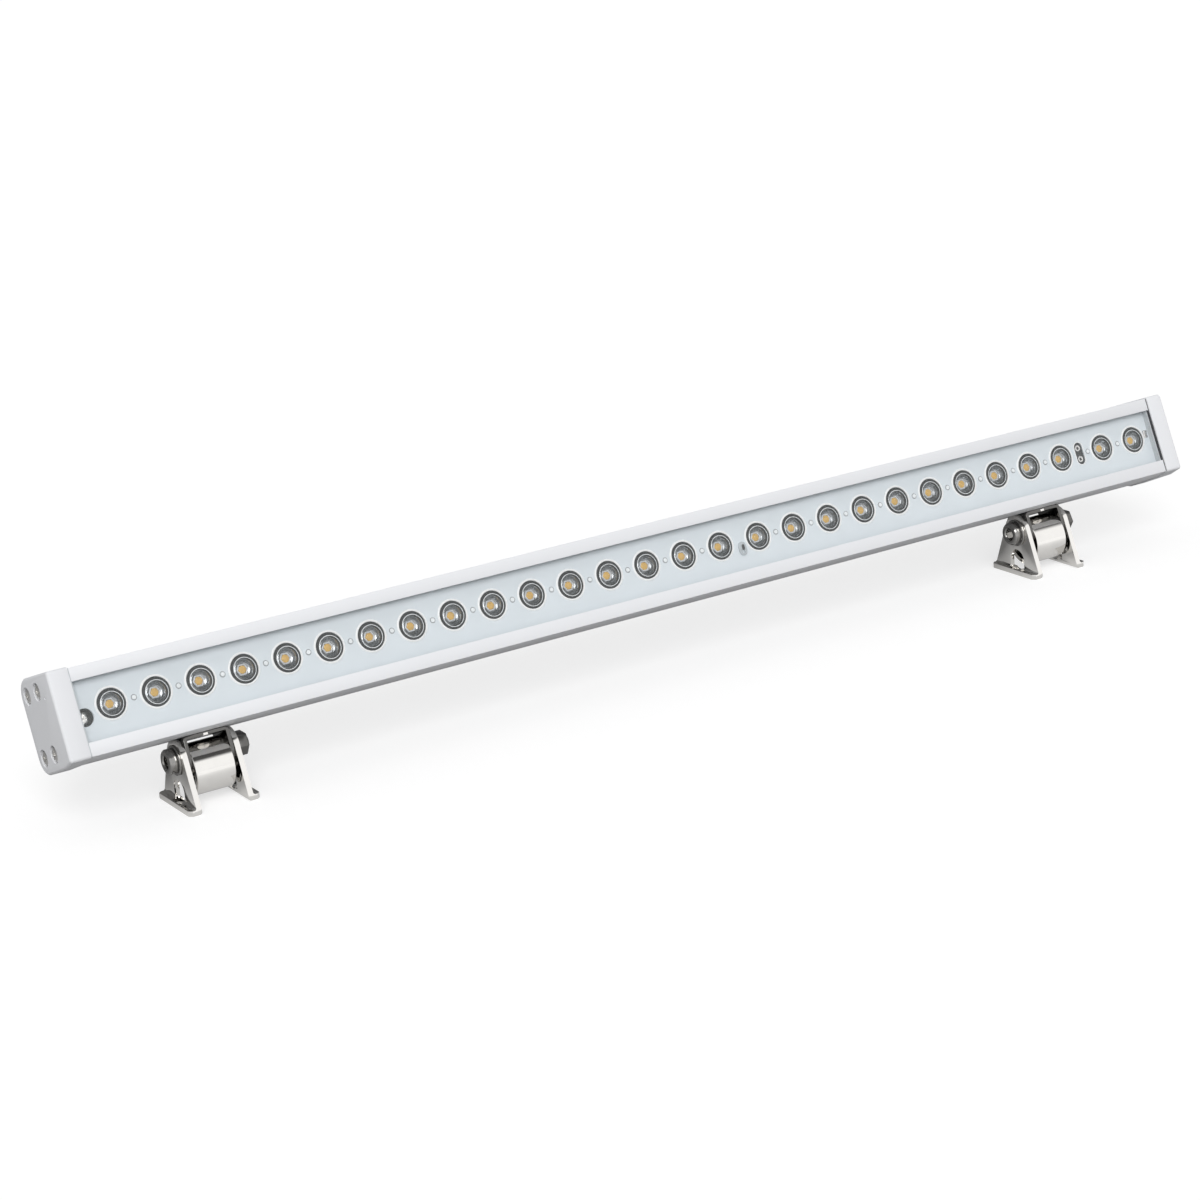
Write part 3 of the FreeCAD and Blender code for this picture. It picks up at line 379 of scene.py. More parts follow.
def lathe(work, profile, segments):
    """Spins (radius, depth) points about the Y axis; deeper is +Y."""
    rings = []
    for radius, depth in profile:
        if radius < 1e-7:
            rings.append([work.verts.new((0, depth, 0))])
            continue
        turns = [2 * math.pi * step / segments for step in range(segments)]
        rings.append([work.verts.new((radius * math.cos(turn), depth, radius * math.sin(turn)))
                      for turn in turns])
    for inner, outer in zip(rings, rings[1:]):
        for step in range(segments):
            following = (step + 1) % segments
            corners = [inner[step % len(inner)], inner[following % len(inner)],
                       outer[following % len(outer)], outer[step % len(outer)]]
            unique = list(dict.fromkeys(corners))
            if len(unique) > 2:
                work.faces.new(unique).smooth = True


def scaled(profile, offset=0.0):
    """Profile points in metres, from millimetres that are counted from a radius."""
    return [(offset + radius * MM, depth * MM) for radius, depth in profile]


def mesh_of(work, name, material):
    """Closes a working mesh into a named one with a single finish."""
    bmesh.ops.recalc_face_normals(work, faces=work.faces)
    mesh = bpy.data.meshes.new(name)
    work.to_mesh(mesh)
    work.free()
    mesh.materials.append(material)
    mesh.polygons.foreach_set("use_smooth", [True] * len(mesh.polygons))
    return mesh


def turned(name, profiles, at, material):
    """Lathe work about a line along X through a point: each profile holds (radius, x) in millimetres."""
    work = bmesh.new()
    for profile, segments in profiles:
        lathe(work, scaled(profile), segments)
    work.transform(Matrix.Translation(at) @ Matrix.Rotation(-math.pi / 2, 4, "Z"))
    return mesh_of(work, name, material)


def copies(mesh, name, places, material):
    """One mesh that holds a copy of another at each matrix."""
    work = bmesh.new()
    for place in places:
        before = len(work.verts)
        work.from_mesh(mesh)
        work.verts.ensure_lookup_table()
        bmesh.ops.transform(work, matrix=place, verts=work.verts[before:])
    bpy.data.meshes.remove(mesh)
    return mesh_of(work, name, material)


def carved(mesh, cutter):
    """A mesh with the cutter's space taken out of it."""
    holder, tool = placed("carve_work", mesh), placed("carve_tool", cutter)
    removal = holder.modifiers.new("carve", "BOOLEAN")
    removal.object = tool
    removal.operation = "DIFFERENCE"
    removal.solver = "EXACT"
    removal.use_self = True
    result = evaluated_mesh(holder)
    bpy.data.objects.remove(tool)
    return result


def ring_points(across, up, radius, segments=56):
    """A circle as (x, height) points."""
    return [(across + radius * math.cos(2 * math.pi * step / segments),
             up + radius * math.sin(2 * math.pi * step / segments)) for step in range(segments)]


def slot_points(across, up, half_width, half_height, segments=14):
    """An upright slot with round ends as (x, height) points."""
    straight = half_height - half_width
    points = []
    for way, start in ((1, 0.0), (-1, math.pi)):
        for step in range(segments + 1):
            turn = start + math.pi * step / segments
            points.append((across + half_width * math.cos(turn),
                           up + way * straight + half_width * math.sin(turn)))
    return points


def plate(name, outlines, front, thickness, edge, material):
    """A flat plate in the lamp's section with holes and softened edges; outlines are (x, height)."""
    curve = bpy.data.curves.new(name, "CURVE")
    curve.dimensions = "2D"
    curve.fill_mode = "BOTH"
    curve.extrude = thickness / 2 - edge
    curve.bevel_depth = edge
    curve.bevel_resolution = 2
    curve.offset = -edge
    for points in outlines:
        spline = curve.splines.new("POLY")
        spline.points.add(len(points) - 1)
        for target, (across, up) in zip(spline.points, points):
            target.co = (across, up, 0, 1)
        spline.use_cyclic_u = True
    mesh = evaluated_mesh(placed(name + "_work", curve))
    work = bmesh.new()
    work.from_mesh(mesh)
    bpy.data.meshes.remove(mesh)
    bmesh.ops.remove_doubles(work, verts=work.verts, dist=0.001 * MM)
    upright = Matrix(((1, 0, 0, 0), (0, 0, -1, 0), (0, 1, 0, 0), (0, 0, 0, 1)))
    centre = lamp_point(0, front + thickness / 2, 0)
    work.transform(Matrix.Translation(centre) @ TURN @ upright)
    return mesh_of(work, name, material)


def unit_mesh(name, profile, segments, material, turn=TURN):
    """One turned unit, tilted as the lamp is unless another turn is given."""
    work = bmesh.new()
    lathe(work, profile, segments)
    bmesh.ops.recalc_face_normals(work, faces=work.faces)
    work.transform(turn)
    mesh = bpy.data.meshes.new(name)
    work.to_mesh(mesh)
    work.free()
    mesh.materials.append(material)
    return mesh


# ---------------------------------------------------------------- geometry nodes

def math_node(tree, operation, first, second):
    """One step of arithmetic on two numbers or sockets; returns its result."""
    node = tree.nodes.new("ShaderNodeMath")
    node.operation = operation
    for socket, source in zip(node.inputs, (first, second)):
        if isinstance(source, (int, float)):
            socket.default_value = source
        else:
            tree.links.new(source, socket)
    return node.outputs["Value"]


def blend(tree, factor, low, high):
    """Gives low where the factor is 0 and high where it is 1."""
    rise = math_node(tree, "SUBTRACT", high, low)
    return math_node(tree, "ADD", low, math_node(tree, "MULTIPLY", factor, rise))


def row_tree():
    """Copies one unit along X, with wider gaps where the light boards meet."""
    tree = bpy.data.node_groups.new("LensRow", "GeometryNodeTree")
    face = tree.interface
    face.new_socket("Unit", in_out="INPUT", socket_type="NodeSocketObject")
    face.new_socket("Count", in_out="INPUT", socket_type="NodeSocketInt")
    for name in ("Pitch", "Gap A", "Gap B"):
        face.new_socket(name, in_out="INPUT", socket_type="NodeSocketFloat")
    face.new_socket("Start", in_out="INPUT", socket_type="NodeSocketVector")
    face.new_socket("Material", in_out="INPUT", socket_type="NodeSocketMaterial")
    face.new_socket("Geometry", in_out="OUTPUT", socket_type="NodeSocketGeometry")
    given = tree.nodes.new("NodeGroupInput")
    result = tree.nodes.new("NodeGroupOutput")
    line = tree.nodes.new("GeometryNodeMeshLine")
    tree.links.new(given.outputs["Count"], line.inputs["Count"])
    tree.links.new(given.outputs["Start"], line.inputs["Start Location"])
    line.inputs["Offset"].default_value = (0, 0, 0)
    index = tree.nodes.new("GeometryNodeInputIndex").outputs["Index"]
    along = math_node(tree, "MULTIPLY", index, given.outputs["Pitch"])
    for after, gap in ((FIRST_JOINT - 0.5, "Gap A"), (SECOND_JOINT - 0.5, "Gap B")):
        passed = math_node(tree, "GREATER_THAN", index, after)
        along = math_node(tree, "ADD", along, math_node(tree, "MULTIPLY", passed, given.outputs[gap]))
    offset = tree.nodes.new("ShaderNodeCombineXYZ")
    tree.links.new(along, offset.inputs["X"])
    shift = tree.nodes.new("GeometryNodeSetPosition")
    tree.links.new(line.outputs["Mesh"], shift.inputs["Geometry"])
    tree.links.new(offset.outputs["Vector"], shift.inputs["Offset"])
    unit = tree.nodes.new("GeometryNodeObjectInfo")
    tree.links.new(given.outputs["Unit"], unit.inputs["Object"])
    repeats = tree.nodes.new("GeometryNodeInstanceOnPoints")
    tree.links.new(shift.outputs["Geometry"], repeats.inputs["Points"])
    tree.links.new(unit.outputs["Geometry"], repeats.inputs["Instance"])
    real = tree.nodes.new("GeometryNodeRealizeInstances")
    tree.links.new(repeats.outputs["Instances"], real.inputs["Geometry"])
    finish = tree.nodes.new("GeometryNodeSetMaterial")
    tree.links.new(real.outputs["Geometry"], finish.inputs["Geometry"])
    tree.links.new(given.outputs["Material"], finish.inputs["Material"])
    tree.links.new(finish.outputs["Geometry"], result.inputs["Geometry"])
    return tree


def row_of(unit, name, tree, start, material, sizes):
    """Runs the row tree on a unit mesh and returns the plain mesh."""
    source = placed(name + "_unit", unit)
    holder = placed(name + "_work", bpy.data.meshes.new(name + "_work"))
    modifier = holder.modifiers.new("row", "NODES")
    modifier.node_group = tree
    values = {"Unit": source, "Count": sizes.count, "Pitch": sizes.pitch, "Gap A": sizes.gap_a,
              "Gap B": sizes.gap_b, "Start": tuple(start), "Material": material}
    for item in tree.interface.items_tree:
        if item.in_out == "INPUT" and item.name in values:
            modifier[item.identifier] = values[item.name]
    mesh = evaluated_mesh(holder)
    bpy.data.objects.remove(source)
    mesh.name = name
    return mesh


# ---------------------------------------------------------------- operators

def arc(centre, radius, start, steps):
    """Points of a quarter circle."""
    turns = [math.radians(start + 90 * step / steps) for step in range(steps + 1)]
    return [(centre[0] + radius * math.cos(turn), centre[1] + radius * math.sin(turn)) for turn in turns]


def cap_outline():
    """The end cap's section as (depth, height) points, 1 mm proud of the housing, its corners rounded."""
    front, back, low, high = -1.0, 63.0, -34.5, 35.0
    lip, chin = 32.5, 13.0
    large, small = 14.0, 2.4
    points = arc((front + small, small - lip), small, 180, 8) + [(chin, low)]
    points += arc((back - large, low + large), large, 270, 16)
    points += arc((back - large, high - large), large, 0, 16)
    points += arc((front + small, lip - small), small, 90, 8)
    return [(depth * MM, height * MM) for depth, height in points]


def cap_block(name, sign, edge, material):
    """The solid cap with its bevelled rim."""
    work = bmesh.new()
    faces = []
    for x in (sign * CAP_FACE, sign * CAP_INNER):
        faces.append([work.verts.new(lamp_point(x, depth, height)) for depth, height in cap_outline()])
    rim = work.faces.new(faces[0])
    work.faces.new(faces[1])
    for step in range(len(faces[0])):
        following = (step + 1) % len(faces[0])
        work.faces.new((faces[0][step], faces[0][following], faces[1][following], faces[1][step]))
    bmesh.ops.recalc_face_normals(work, faces=work.faces)
    bmesh.ops.bevel(work, geom=list(rim.edges), offset=CAP_BEVEL, segments=1, profile=0.5, affect="EDGES")
    limit = math.radians(30)
    sharp = [item for item in work.edges if item.is_manifold and item.calc_face_angle() > limit]
    bmesh.ops.bevel(work, geom=sharp, offset=edge, segments=2, profile=0.5, affect="EDGES")
    return mesh_of(work, name, material)


def cap_mesh(name, sign, edge, material):
    """A cap with four round screw wells and a small dimple."""
    body = cap_block(name, sign, edge, material)
    tools = bmesh.new()
    holes = [(spot, WELL_RADIUS, 2 * (CAP_FACE - WELL_FLOOR), 64) for spot in CAP_SCREWS]
    holes.append((DIMPLE, DIMPLE_RADIUS, 2 * DIMPLE_DEPTH, 24))
    for (depth, height), radius, length, segments in holes:
        place = Matrix.Translation(lamp_point(sign * CAP_FACE, depth, height))
        bmesh.ops.create_cone(tools, cap_ends=True, segments=segments, radius1=radius, radius2=radius,
                              depth=length, matrix=place @ Matrix.Rotation(math.pi / 2, 4, "Y"))
    result = carved(body, mesh_of(tools, name + "_wells", material))
    result.name = name
    return result


class WASHER_OT_shells(bpy.types.Operator):
    """Coated extrusion and cast end caps"""
    bl_idname = "washer.shells"
    bl_label = "Shells"

    def execute(self, context):
        shell, finish = context.scene.washer_shell, context.scene.washer_finish
        coat = powder_coat("powder_white", tuple(finish.coat))
        dressed("housing_extrusion", "housing", LAMP, coat, shell.housing_edge, 2)
        for side, sign in (("left", -1), ("right", 1)):
            mesh = cap_mesh("cap_shell_" + side, sign, shell.cap_edge, coat)
            adopt(mesh, "end_cap_shell_" + side, LAMP, ("end_cap_" + side,), 28)
        return {"FINISHED"}


class WASHER_OT_optics(bpy.types.Operator):
    """Rims, sleeves, lenses and light sources of the row"""
    bl_idname = "washer.optics"
    bl_label = "Light row"

    def execute(self, context):
        optics, finish = context.scene.washer_optics, context.scene.washer_finish
        black = moulded("holder_black", (0.006, 0.006, 0.007), 0.5)
        black.node_tree.nodes["Principled BSDF"].inputs["Specular IOR Level"].default_value = 0.12
        cup = smooth_metal("lens_cup", (0.26, 0.27, 0.28), 0.22)
        flange = smooth_metal("lens_flange", (0.80, 0.82, 0.84), 0.18)
        amber = phosphor("phosphor_amber", tuple(finish.amber))
        frame_white = moulded("chip_frame", (0.60, 0.62, 0.64), 0.25)
        dome = clear_pane("chip_dome")
        rim_white = moulded("rim_white", (0.97, 0.975, 0.98), 0.3)
        tree = row_tree()
        start = lamp_point(optics.first, optics.panel_front, optics.row_height)

        def row(name, profile, segments, material, nodes=(), aside=0.0):
            unit = unit_mesh(name, profile, segments, material)
            unit.transform(Matrix.Translation(Vector((aside, 0, -aside / 2))))
            mesh = row_of(unit, name, tree, start, material, optics)
            adopt(mesh, name, LAMP, nodes, 35)

        row("lens_rims", scaled(HOLE_RIM, optics.hole), 56, rim_white)
        row("holder_rings", scaled(HOLE_SLEEVE, optics.hole), 56, black, ("lens_holders",))
        row("lens_flanges", scaled(LENS_FLANGE), 56, flange, (), optics.aside)
        row("lens_cups", scaled(LENS_CUP), 56, cup, ("collimator_lenses",), optics.aside)
        row("chip_frames", scaled(CHIP_FRAME), 6, frame_white)
        row("phosphor_discs", scaled(CHIP_FACE), 8, amber)
        row("chip_domes", scaled(CHIP_DOME), 24, dome)
        return {"FINISHED"}


def source_places(optics):
    """Where the light sources stand along X."""
    return [optics.first + index * optics.pitch + (optics.gap_a if index >= FIRST_JOINT else 0.0)
            + (optics.gap_b if index >= SECOND_JOINT else 0.0) for index in range(optics.count)]


def joint_middle(places, before):
    """X half way between two lenses, with a given number of lenses to its left."""
    return (places[before - 1] + places[before]) / 2


def on_panel(name, profile, segments, material, optics, spots):
    """Copies of a turned form on the panel's face, at (x, height) spots."""
    unit = unit_mesh(name + "_unit", scaled(profile), segments, material)
    places = [Matrix.Translation(lamp_point(x, optics.panel_front, height)) for x, height in spots]
    return copies(unit, name, places, material)


def panel_outlines(optics, places, slot_x):
    """The panel's edge with its screw notch, the lens holes and the lead slot, as (x, height)."""
    turns = [math.radians(turn) for turn in range(120, -121, -10)]
    notch = [(-PANEL_END + NOTCH_SHIFT + NOTCH_RADIUS * math.cos(turn),
              PANEL_SCREW[2] + NOTCH_RADIUS * math.sin(turn)) for turn in turns]
    edge = [(-PANEL_END, PANEL_REACH), *notch, (-PANEL_END, -PANEL_REACH), (PANEL_END, -PANEL_REACH),
            (PANEL_END, PANEL_REACH)]
    holes = [ring_points(x, optics.row_height, optics.hole) for x in places]
    return [edge, *holes, slot_points(slot_x, optics.row_height, SLOT_HALF_WIDTH, SLOT_HALF_HEIGHT)]


def peg_row(optics, places):
    """Clear pegs between the lenses, each in a dark grey ring of painted shade; none where the clip is."""
    clear = moulded("peg_clear", (0.88, 0.91, 0.93), 0.12)
    # Dark grey rings round the pegs: painted shade.
    shadow = moulded("peg_painted_shade_grey", (0.16, 0.17, 0.18), 0.5)
    middles = [joint_middle(places, before) for before in range(1, len(places))]
    middles[SECOND_JOINT - 1] += PEG_SHIFT
    del middles[FIRST_JOINT - 1]
    spots = [(x, optics.row_height) for x in middles]
    mesh = on_panel("pegs", PEG, 20, clear, optics, spots)
    adopt(mesh, "panel_peg_domes", LAMP, ("panel_pegs",), 40)
    mesh = on_panel("peg_shade_rings", PEG_SHADE_RING, 24, shadow, optics, spots)
    adopt(mesh, "panel_peg_seats", LAMP, (), 40)


def lead_slot(optics, slot_x, steel, rubber_and_painted_shade):
    """The slot's two bushes, a black plate of painted shade filling it, and its raised rim."""
    white = moulded("slot_rim_white", (0.95, 0.96, 0.97), 0.3)
    middle, front = optics.row_height, optics.panel_front

    def outline(grow):
        return slot_points(slot_x, middle, SLOT_HALF_WIDTH + grow, SLOT_HALF_HEIGHT + grow)

    spots = [(slot_x, middle + way * BUSH_SHIFT) for way in (-1, 1)]
    mesh = on_panel("bushes", LEAD_BUSH, 32, steel, optics, spots)
    adopt(mesh, "lead_bush_rings", LAMP, ("lead_bushes",), 35)
    # A black plate inside the slot: painted shade for the dark space behind it.
    inset = [outline(-SLOT_SHADE_PLAY)]
    mesh = plate("slot_grommet", inset, front + 0.9 * MM, 0.5 * MM, 0.1 * MM, rubber_and_painted_shade)
    adopt(mesh, "lead_slot_grommet", LAMP, (), 30)
    rim = [outline(SLOT_RIM), outline(0.0)]
    mesh = plate("slot_rim", rim, front - 0.35 * MM, 0.5 * MM, 0.15 * MM, white)
    adopt(mesh, "lead_slot_rim", LAMP, (), 30)


def lead_clip(optics, clip_x, rubber_and_painted_shade):
    """The smoky wire clip and a black oval plate under it, painted shade where its opening is."""
    smoke = moulded("clip_smoke", (0.47, 0.51, 0.54), 0.15)
    dressed("lead_clip", "lead_clip_moulding", LAMP, smoke, 0.3 * MM, 2)
    # A black oval plate behind the clip: painted shade that makes its opening look dark.
    shape = slot_points(clip_x, optics.row_height - CLIP_DROP, CLIP_HALF_WIDTH, CLIP_HALF_HEIGHT)
    mesh = plate("clip_opening", [shape], optics.panel_front - 1.3 * MM, 0.3 * MM, 0.05 * MM, rubber_and_painted_shade)
    adopt(mesh, "lead_clip_opening", LAMP, (), 30)


class WASHER_OT_panel_face(bpy.types.Operator):
    """Holed lens panel, its pegs, the lead slot, the clip and the bonding tab"""
    bl_idname = "washer.panel_face"
    bl_label = "Lens panel"

    def execute(self, context):
        optics, finish = context.scene.washer_optics, context.scene.washer_finish
        panel = moulded("panel_white", tuple(finish.panel), 0.35)
        steel = polished_metal("tab_steel", (0.62, 0.61, 0.60), 0.14, (1, 1, 1))
        # One black material for the painted shade in the lead slot and under the clip's opening.
        rubber_and_painted_shade = moulded("slot_and_clip_painted_shade", (0.012, 0.012, 0.013), 0.6)
        places = source_places(optics)
        slot_x = joint_middle(places, SECOND_JOINT) + SLOT_SHIFT
        outlines = panel_outlines(optics, places, slot_x)
        mesh = plate("panel", outlines, optics.panel_front, PANEL_THICKNESS, 0.15 * MM, panel)
        adopt(mesh, "panel_face", LAMP, ("lens_panel",), 25)
        peg_row(optics, places)
        lead_slot(optics, slot_x, steel, rubber_and_painted_shade)
        lead_clip(optics, joint_middle(places, FIRST_JOINT) + CLIP_SHIFT, rubber_and_painted_shade)
        dressed("bonding_tab", "bonding_tab_plate", LAMP, steel, 0.15 * MM, 2)
        return {"FINISHED"}


class WASHER_OT_front(bpy.types.Operator):
    """Front glass, its seals, the end gaskets and the beads at the panel's ends"""
    bl_idname = "washer.front"
    bl_label = "Glass and seals"

    def execute(self, context):
        give("front_glass", clear_pane("clear_glass"))
        # The right end gasket takes a near-black grey instead of the pale silicone of the left one: painted shade
        # in the gap at that end.
        silicone = moulded("right_gasket_painted_shade", (0.05, 0.05, 0.055), 0.6)
        pale = moulded("silicone_pale", (0.62, 0.65, 0.67), 0.5)
        give("glass_seal_upper", pale)
        give("glass_seal_lower", pale)
        for side, sign, gasket in (("left", -1, pale), ("right", 1, silicone)):
            give("end_gasket_" + side, gasket)
            work = bmesh.new()
            place = Matrix.Translation(lamp_point(sign * BEAD_MIDDLE, BEAD_DEPTH, 0)) @ TURN
            bmesh.ops.create_cube(work, size=1.0, matrix=place @ Matrix.Diagonal((*BEAD_SIZE, 1)))
            adopt(mesh_of(work, "end_bead", pale), "end_bead_" + side, LAMP, (), 30)
        return {"FINISHED"}


class WASHER_OT_inside(bpy.types.Operator):
    """Light boards, driver, terminals and the cable entry"""
    bl_idname = "washer.inside"
    bl_label = "Gear and cable entry"

    def execute(self, context):
        board = moulded("board_white", (0.82, 0.84, 0.85), 0.4)
        green = moulded("board_green", (0.03, 0.17, 0.08), 0.4)
        black = moulded("gear_black", (0.02, 0.02, 0.022), 0.5)
        grey = moulded("terminal_grey", (0.45, 0.46, 0.47), 0.5)
        nickel = polished_metal("nickel", (0.62, 0.60, 0.56), 0.2)
        rubber_and_painted_shade = moulded("seal_black", (0.02, 0.02, 0.02), 0.65)
        for node, material in (("led_boards", board), ("driver_board", green), ("driver_transformer", black),
                               ("driver_capacitors", black), ("driver_standoffs", nickel),
                               ("mains_terminal_block", grey), ("led_chips", board),
                               ("cable_gland_seal", rubber_and_painted_shade), ("panel_pillars", nickel)):
            give(node, material)
        dressed("cable_gland_body", "gland_body", LAMP, nickel, 0.3 * MM)
        dressed("cable_gland_nut", "gland_nut", LAMP, nickel, 0.3 * MM)
        dressed("pressure_vent", "vent_cap", LAMP, grey, 0.2 * MM)
        return {"FINISHED"}


def pan_head(name, radius, height, material):
    """A domed cross-recessed head about Y, its underside at 0 and its crown at -height."""
    work = bmesh.new()
    lathe(work, [(0, 0.6 * MM), (radius, 0.6 * MM), (radius, -height * 0.35), (radius * 0.9, -height * 0.75),
                 (radius * 0.65, -height * 0.97), (0, -height)], 48)
    head = mesh_of(work, name, material)
    tools = bmesh.new()
    for turn in (0, 90):
        bmesh.ops.create_cube(tools, size=1.0, matrix=Matrix.Rotation(math.radians(turn + 20), 4, "Y")
                              @ Matrix.Translation((0, -height, 0))
                              @ Matrix.Diagonal((radius * 1.15, height * 1.1, radius * 0.26, 1)))
    bmesh.ops.create_cone(tools, cap_ends=True, segments=24, radius1=radius * 0.32, radius2=radius * 0.1,
                          depth=height * 1.3, matrix=Matrix.Translation((0, -height * 0.7, 0))
                          @ Matrix.Rotation(-math.pi / 2, 4, "X"))
    cutter = bpy.data.meshes.new(name + "_cross")
    tools.to_mesh(cutter)
    tools.free()
    return carved(head, cutter)


class WASHER_OT_screws(bpy.types.Operator):
    """Cross-recessed screws of the caps and the panel"""
    bl_idname = "washer.screws"
    bl_label = "Screws"

    def execute(self, context):
        steel = polished_metal("screw_steel", (0.90, 0.89, 0.87), 0.36, (1, 1, 1))
        rubber_and_painted_shade = moulded("washer_black_and_well_shade", (0.02, 0.019, 0.018), 0.6)
        for side, sign in (("left", -1), ("right", 1)):
            aim = TURN @ Matrix.Rotation(sign * math.pi / 2, 4, "Z")
            places = [Matrix.Translation(lamp_point(sign * WELL_FLOOR, depth, height)) @ aim
                      for depth, height in CAP_SCREWS]
            # Black rings on the well floors: painted shade round the cap screw heads.
            ring = unit_mesh("dark_ring_unit", scaled(CAP_WELL_SHADE), 40, rubber_and_painted_shade, Matrix())
            mesh = copies(ring, "cap_well_shade_" + side, places, rubber_and_painted_shade)
            adopt(mesh, "cap_screw_seals_" + side, LAMP, (), 30)
            head = pan_head("pan_head_" + side, *CAP_HEAD, steel)
            mesh = copies(head, "cap_screws_" + side, places, steel)
            adopt(mesh, "cap_screw_heads_" + side, LAMP, ("end_cap_screws_" + side,), 30)
        shift, depth, height = PANEL_SCREW
        spot = Matrix.Translation(lamp_point(context.scene.washer_optics.first + shift, depth, height))
        head = pan_head("panel_head", *PANEL_HEAD, steel)
        mesh = copies(head, "panel_screw", [spot @ TURN], steel)
        adopt(mesh, "panel_screw_head", LAMP, ("panel_screws",), 30)
        ring = unit_mesh("dark_ring_unit", scaled(PANEL_SEAL), 40, rubber_and_painted_shade)
        mesh = copies(ring, "panel_seal", [spot], rubber_and_painted_shade)
        adopt(mesh, "panel_screw_washer", LAMP, (), 30)
        return {"FINISHED"}


class WASHER_OT_brackets(bpy.types.Operator):
    """Polished saddles, spacer tubes, feet and pivot hardware"""
    bl_idname = "washer.brackets"
    bl_label = "Brackets"

    def execute(self, context):
        shell, colour = context.scene.washer_shell, tuple(context.scene.washer_finish.steel)
        steel = polished_metal("polished_steel", colour, 0.08)
        # Darker copies of the polished steel are painted shade: they stand for the dark reflections of the bolts
        # and washers, and, darker still, of the saddles and nuts.
        dark = polished_metal("polished_steel_painted_shade", shade(colour, 0.36), 0.16)
        deep = polished_metal("polished_steel_painted_deep_shade", shade(colour, 0.17), 0.14)
        flipped = [(radius, -x) for radius, x in WASHER]
        for side, joint in zip(SIDES, frame["joints"]):
            at, body = Vector(joint["pos_m"]), BRACKETS[side]
            dressed("saddle_" + side, "saddle_plate_" + side, LAMP, deep, shell.plate_edge)
            mesh = turned("tube_" + side, [(TUBE, 96)], at - Vector((0, 0, TUBE_DROP)), steel)
            adopt(mesh, "tube_polished_" + side, LAMP, ("spacer_tube_" + side,), 40)
            give("saddle_screws_" + side, steel)
            for part in ("outer", "inner"):
                dressed("%s_foot_%s" % (side, part), "foot_%s_%s" % (side, part), body,
                        steel, shell.plate_edge)
            mesh = turned("bolt_" + side, [(BOLT, 72), (BOLT_SOCKET, 6)], at, dark)
            adopt(mesh, side + "_bolt_turned", body, (side + "_pivot_bolt",), 28)
            mesh = turned("washers_" + side, [(WASHER, 72), (flipped, 72)], at, dark)
            adopt(mesh, side + "_washers_turned", body, (side + "_pivot_washers",), 28)
            dressed(side + "_pivot_nut", side + "_nut_metal", body, deep,
                    shell.bolt_edge, 2)
        return {"FINISHED"}


# ---------------------------------------------------------------- stage

# The photograph's camera: place, turn in degrees, lens and sensor in millimetres.
CAMERA_AT = Vector((-1.18014, -1.90753, 0.75029))
CAMERA_TURN = (72.704, 4.510, -32.062)
CAMERA_LENS = 91.66
SENSOR_WIDTH = 36.0

# The studio: the floor's size, grey and glow, the level of the world, and the key light.
FLOOR_SIZE = 60
FLOOR_GREY, FLOOR_GREY_SEEN = 0.32, 0.20
FLOOR_GLOW_SEEN, FLOOR_GLOW_MIRRORED = 0.56, 0.90
WORLD_LEVEL = 0.60
KEY_DIRECTION = (0.35, 0.72, -0.60)
KEY_STRENGTH = 1.55
KEY_SPREAD = 35


def floor_material():
    """A pale floor: white to the camera with a faint shadow; mirrored, bright in front and dark behind."""
    material, tree, shader = new_material("floor_white")
    rays = tree.nodes.new("ShaderNodeLightPath")
    seen = rays.outputs["Is Camera Ray"]
    place = tree.nodes.new("ShaderNodeTexCoord")
    axes = tree.nodes.new("ShaderNodeSeparateXYZ")
    tree.links.new(place.outputs["Object"], axes.inputs["Vector"])
    front = mapped(tree, axes.outputs["Y"], (-0.16, 0.06), (FLOOR_GLOW_MIRRORED, 0.0))
    mirrored = math_node(tree, "MULTIPLY", rays.outputs["Is Glossy Ray"], front)
    level = math_node(tree, "ADD", math_node(tree, "MULTIPLY", seen, FLOOR_GREY_SEEN), FLOOR_GREY)
    grey = tree.nodes.new("ShaderNodeCombineColor")
    for channel in ("Red", "Green", "Blue"):
        tree.links.new(level, grey.inputs[channel])
    tree.links.new(grey.outputs["Color"], shader.inputs["Base Color"])
    shader.inputs["Emission Color"].default_value = (1, 1, 1, 1)
    glow = math_node(tree, "ADD", math_node(tree, "MULTIPLY", seen, FLOOR_GLOW_SEEN), mirrored)
    tree.links.new(glow, shader.inputs["Emission Strength"])
    shader.inputs["Roughness"].default_value = 1.0
    shader.inputs["Specular IOR Level"].default_value = 0.0
    return material


def world_light(level):
    """White where the camera looks; mirrored, it is bright in front and dark behind, as a studio is."""
    world = bpy.data.worlds.new("studio")
    bpy.context.scene.world = world
    world.use_nodes = True
    tree = world.node_tree
    rays = tree.nodes.new("ShaderNodeLightPath")
    place = tree.nodes.new("ShaderNodeTexCoord")
    axes = tree.nodes.new("ShaderNodeSeparateXYZ")
    tree.links.new(place.outputs["Generated"], axes.inputs["Vector"])
    facing = mapped(tree, axes.outputs["Y"], (-0.45, 0.25), (1.15, 0.13), "SMOOTHSTEP")
    overhead = mapped(tree, axes.outputs["Z"], (0.60, 0.76), (1.0, 0.07), "SMOOTHSTEP")
    mirrored = math_node(tree, "MULTIPLY", facing, overhead)
    seen = math_node(tree, "MAXIMUM", rays.outputs["Is Camera Ray"], rays.outputs["Is Transmission Ray"])
    strength = blend(tree, rays.outputs["Is Glossy Ray"], level, mirrored)
    strength = blend(tree, seen, strength, 1.0)
    background = tree.nodes["Background"]
    background.inputs["Color"].default_value = (1, 1, 1, 1)
    tree.links.new(strength, background.inputs["Strength"])


def sun_light(name, direction, strength, spread_angle):
    """A soft distant light that shines along a direction."""
    data = bpy.data.lights.new(name, "SUN")
    data.energy = strength
    data.angle = math.radians(spread_angle)
    placed(name, data).rotation_euler = Vector(direction).to_track_quat("-Z", "Y").to_euler()


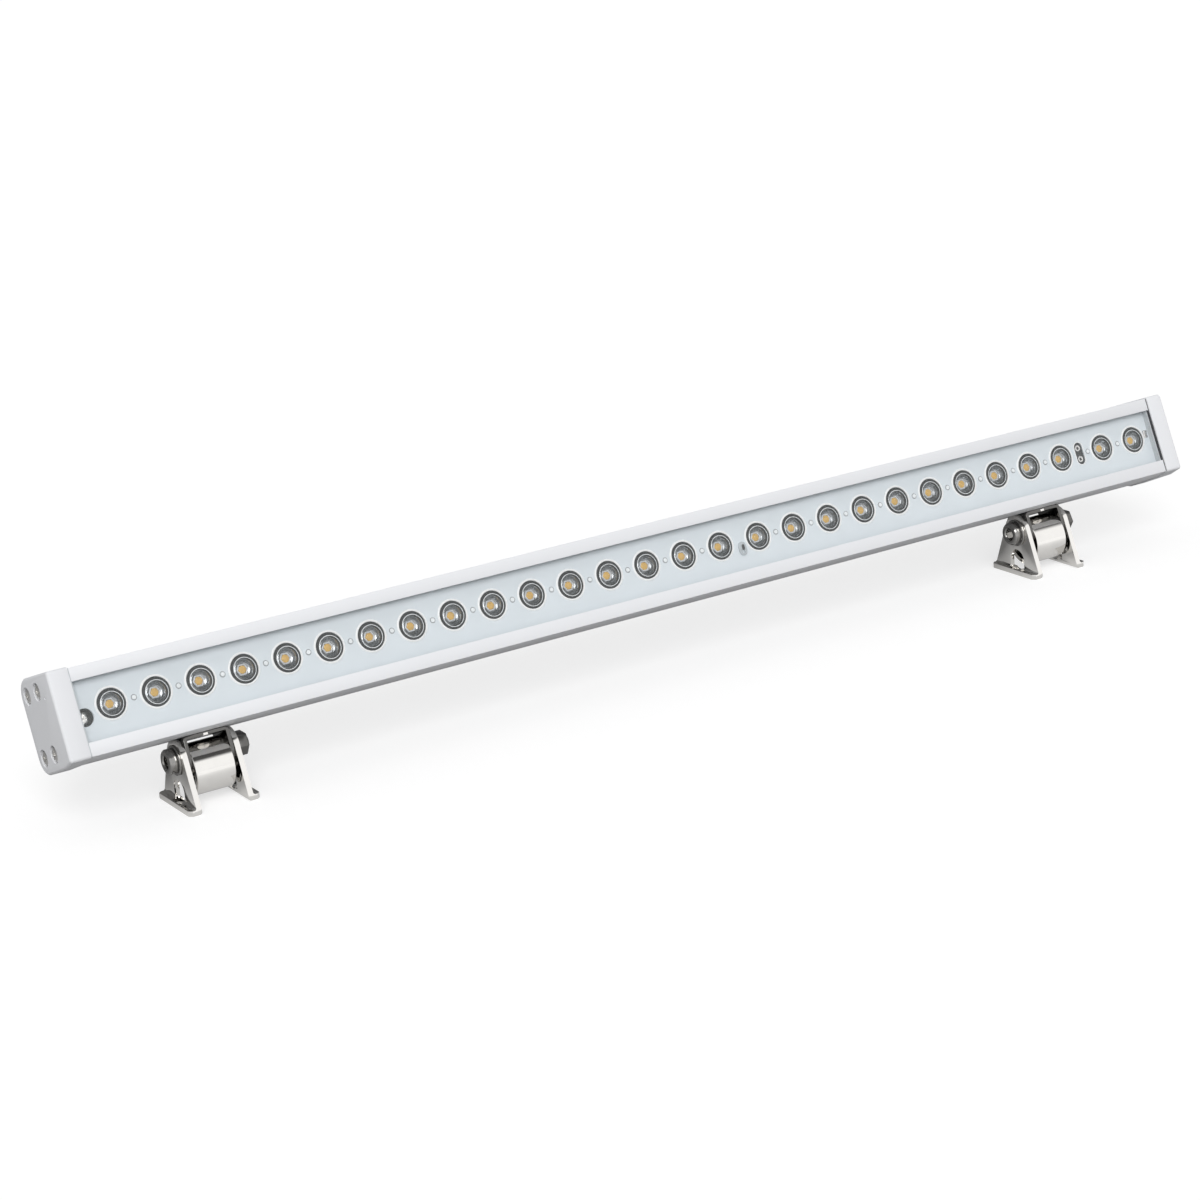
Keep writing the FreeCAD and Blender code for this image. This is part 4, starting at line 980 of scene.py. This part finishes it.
class WASHER_OT_stage(bpy.types.Operator):
    """Pale floor, soft studio light and the photograph's camera"""
    bl_idname = "washer.stage"
    bl_label = "Stage"

    def execute(self, context):
        scene = context.scene
        scene.view_settings.view_transform = "Standard"
        bpy.ops.mesh.primitive_plane_add(size=FLOOR_SIZE)
        floor = context.object
        floor.name = "floor"
        floor.data.materials.append(floor_material())
        world_light(WORLD_LEVEL)
        sun_light("key", KEY_DIRECTION, KEY_STRENGTH, KEY_SPREAD)
        camera = bpy.data.objects.new("camera", bpy.data.cameras.new("camera"))
        camera.location = CAMERA_AT
        camera.rotation_euler = [math.radians(angle) for angle in CAMERA_TURN]
        camera.data.lens = CAMERA_LENS
        camera.data.sensor_width = SENSOR_WIDTH
        scene.collection.objects.link(camera)
        scene.camera = camera
        return {"FINISHED"}


class WASHER_PT_panel(bpy.types.Panel):
    """Lists the steps that build the light"""
    bl_idname = "WASHER_PT_panel"
    bl_label = "Wall washer"
    bl_space_type = "VIEW_3D"
    bl_region_type = "UI"
    bl_category = "Wall washer"

    def draw(self, context):
        for step in STEPS:
            self.layout.operator(step.bl_idname)


STEPS = (WASHER_OT_shells, WASHER_OT_panel_face, WASHER_OT_optics, WASHER_OT_front, WASHER_OT_inside,
         WASHER_OT_screws, WASHER_OT_brackets, WASHER_OT_stage)
GROUPS = (("washer_optics", OpticsSettings), ("washer_shell", ShellSettings),
          ("washer_finish", FinishSettings))


def register():
    """Registers the settings, the steps and the panel."""
    for name, group in GROUPS:
        bpy.utils.register_class(group)
        setattr(bpy.types.Scene, name, bpy.props.PointerProperty(type=group))
    for step in STEPS:
        bpy.utils.register_class(step)
    bpy.utils.register_class(WASHER_PT_panel)


def unregister():
    """Takes all of them away again."""
    bpy.utils.unregister_class(WASHER_PT_panel)
    for step in reversed(STEPS):
        bpy.utils.unregister_class(step)
    for name, group in reversed(GROUPS):
        delattr(bpy.types.Scene, name)
        bpy.utils.unregister_class(group)


def main():
    """Runs every step in order."""
    register()
    for step in STEPS:
        group, name = step.bl_idname.split(".")
        getattr(getattr(bpy.ops, group), name)()


if __name__ == "__main__":
    main()
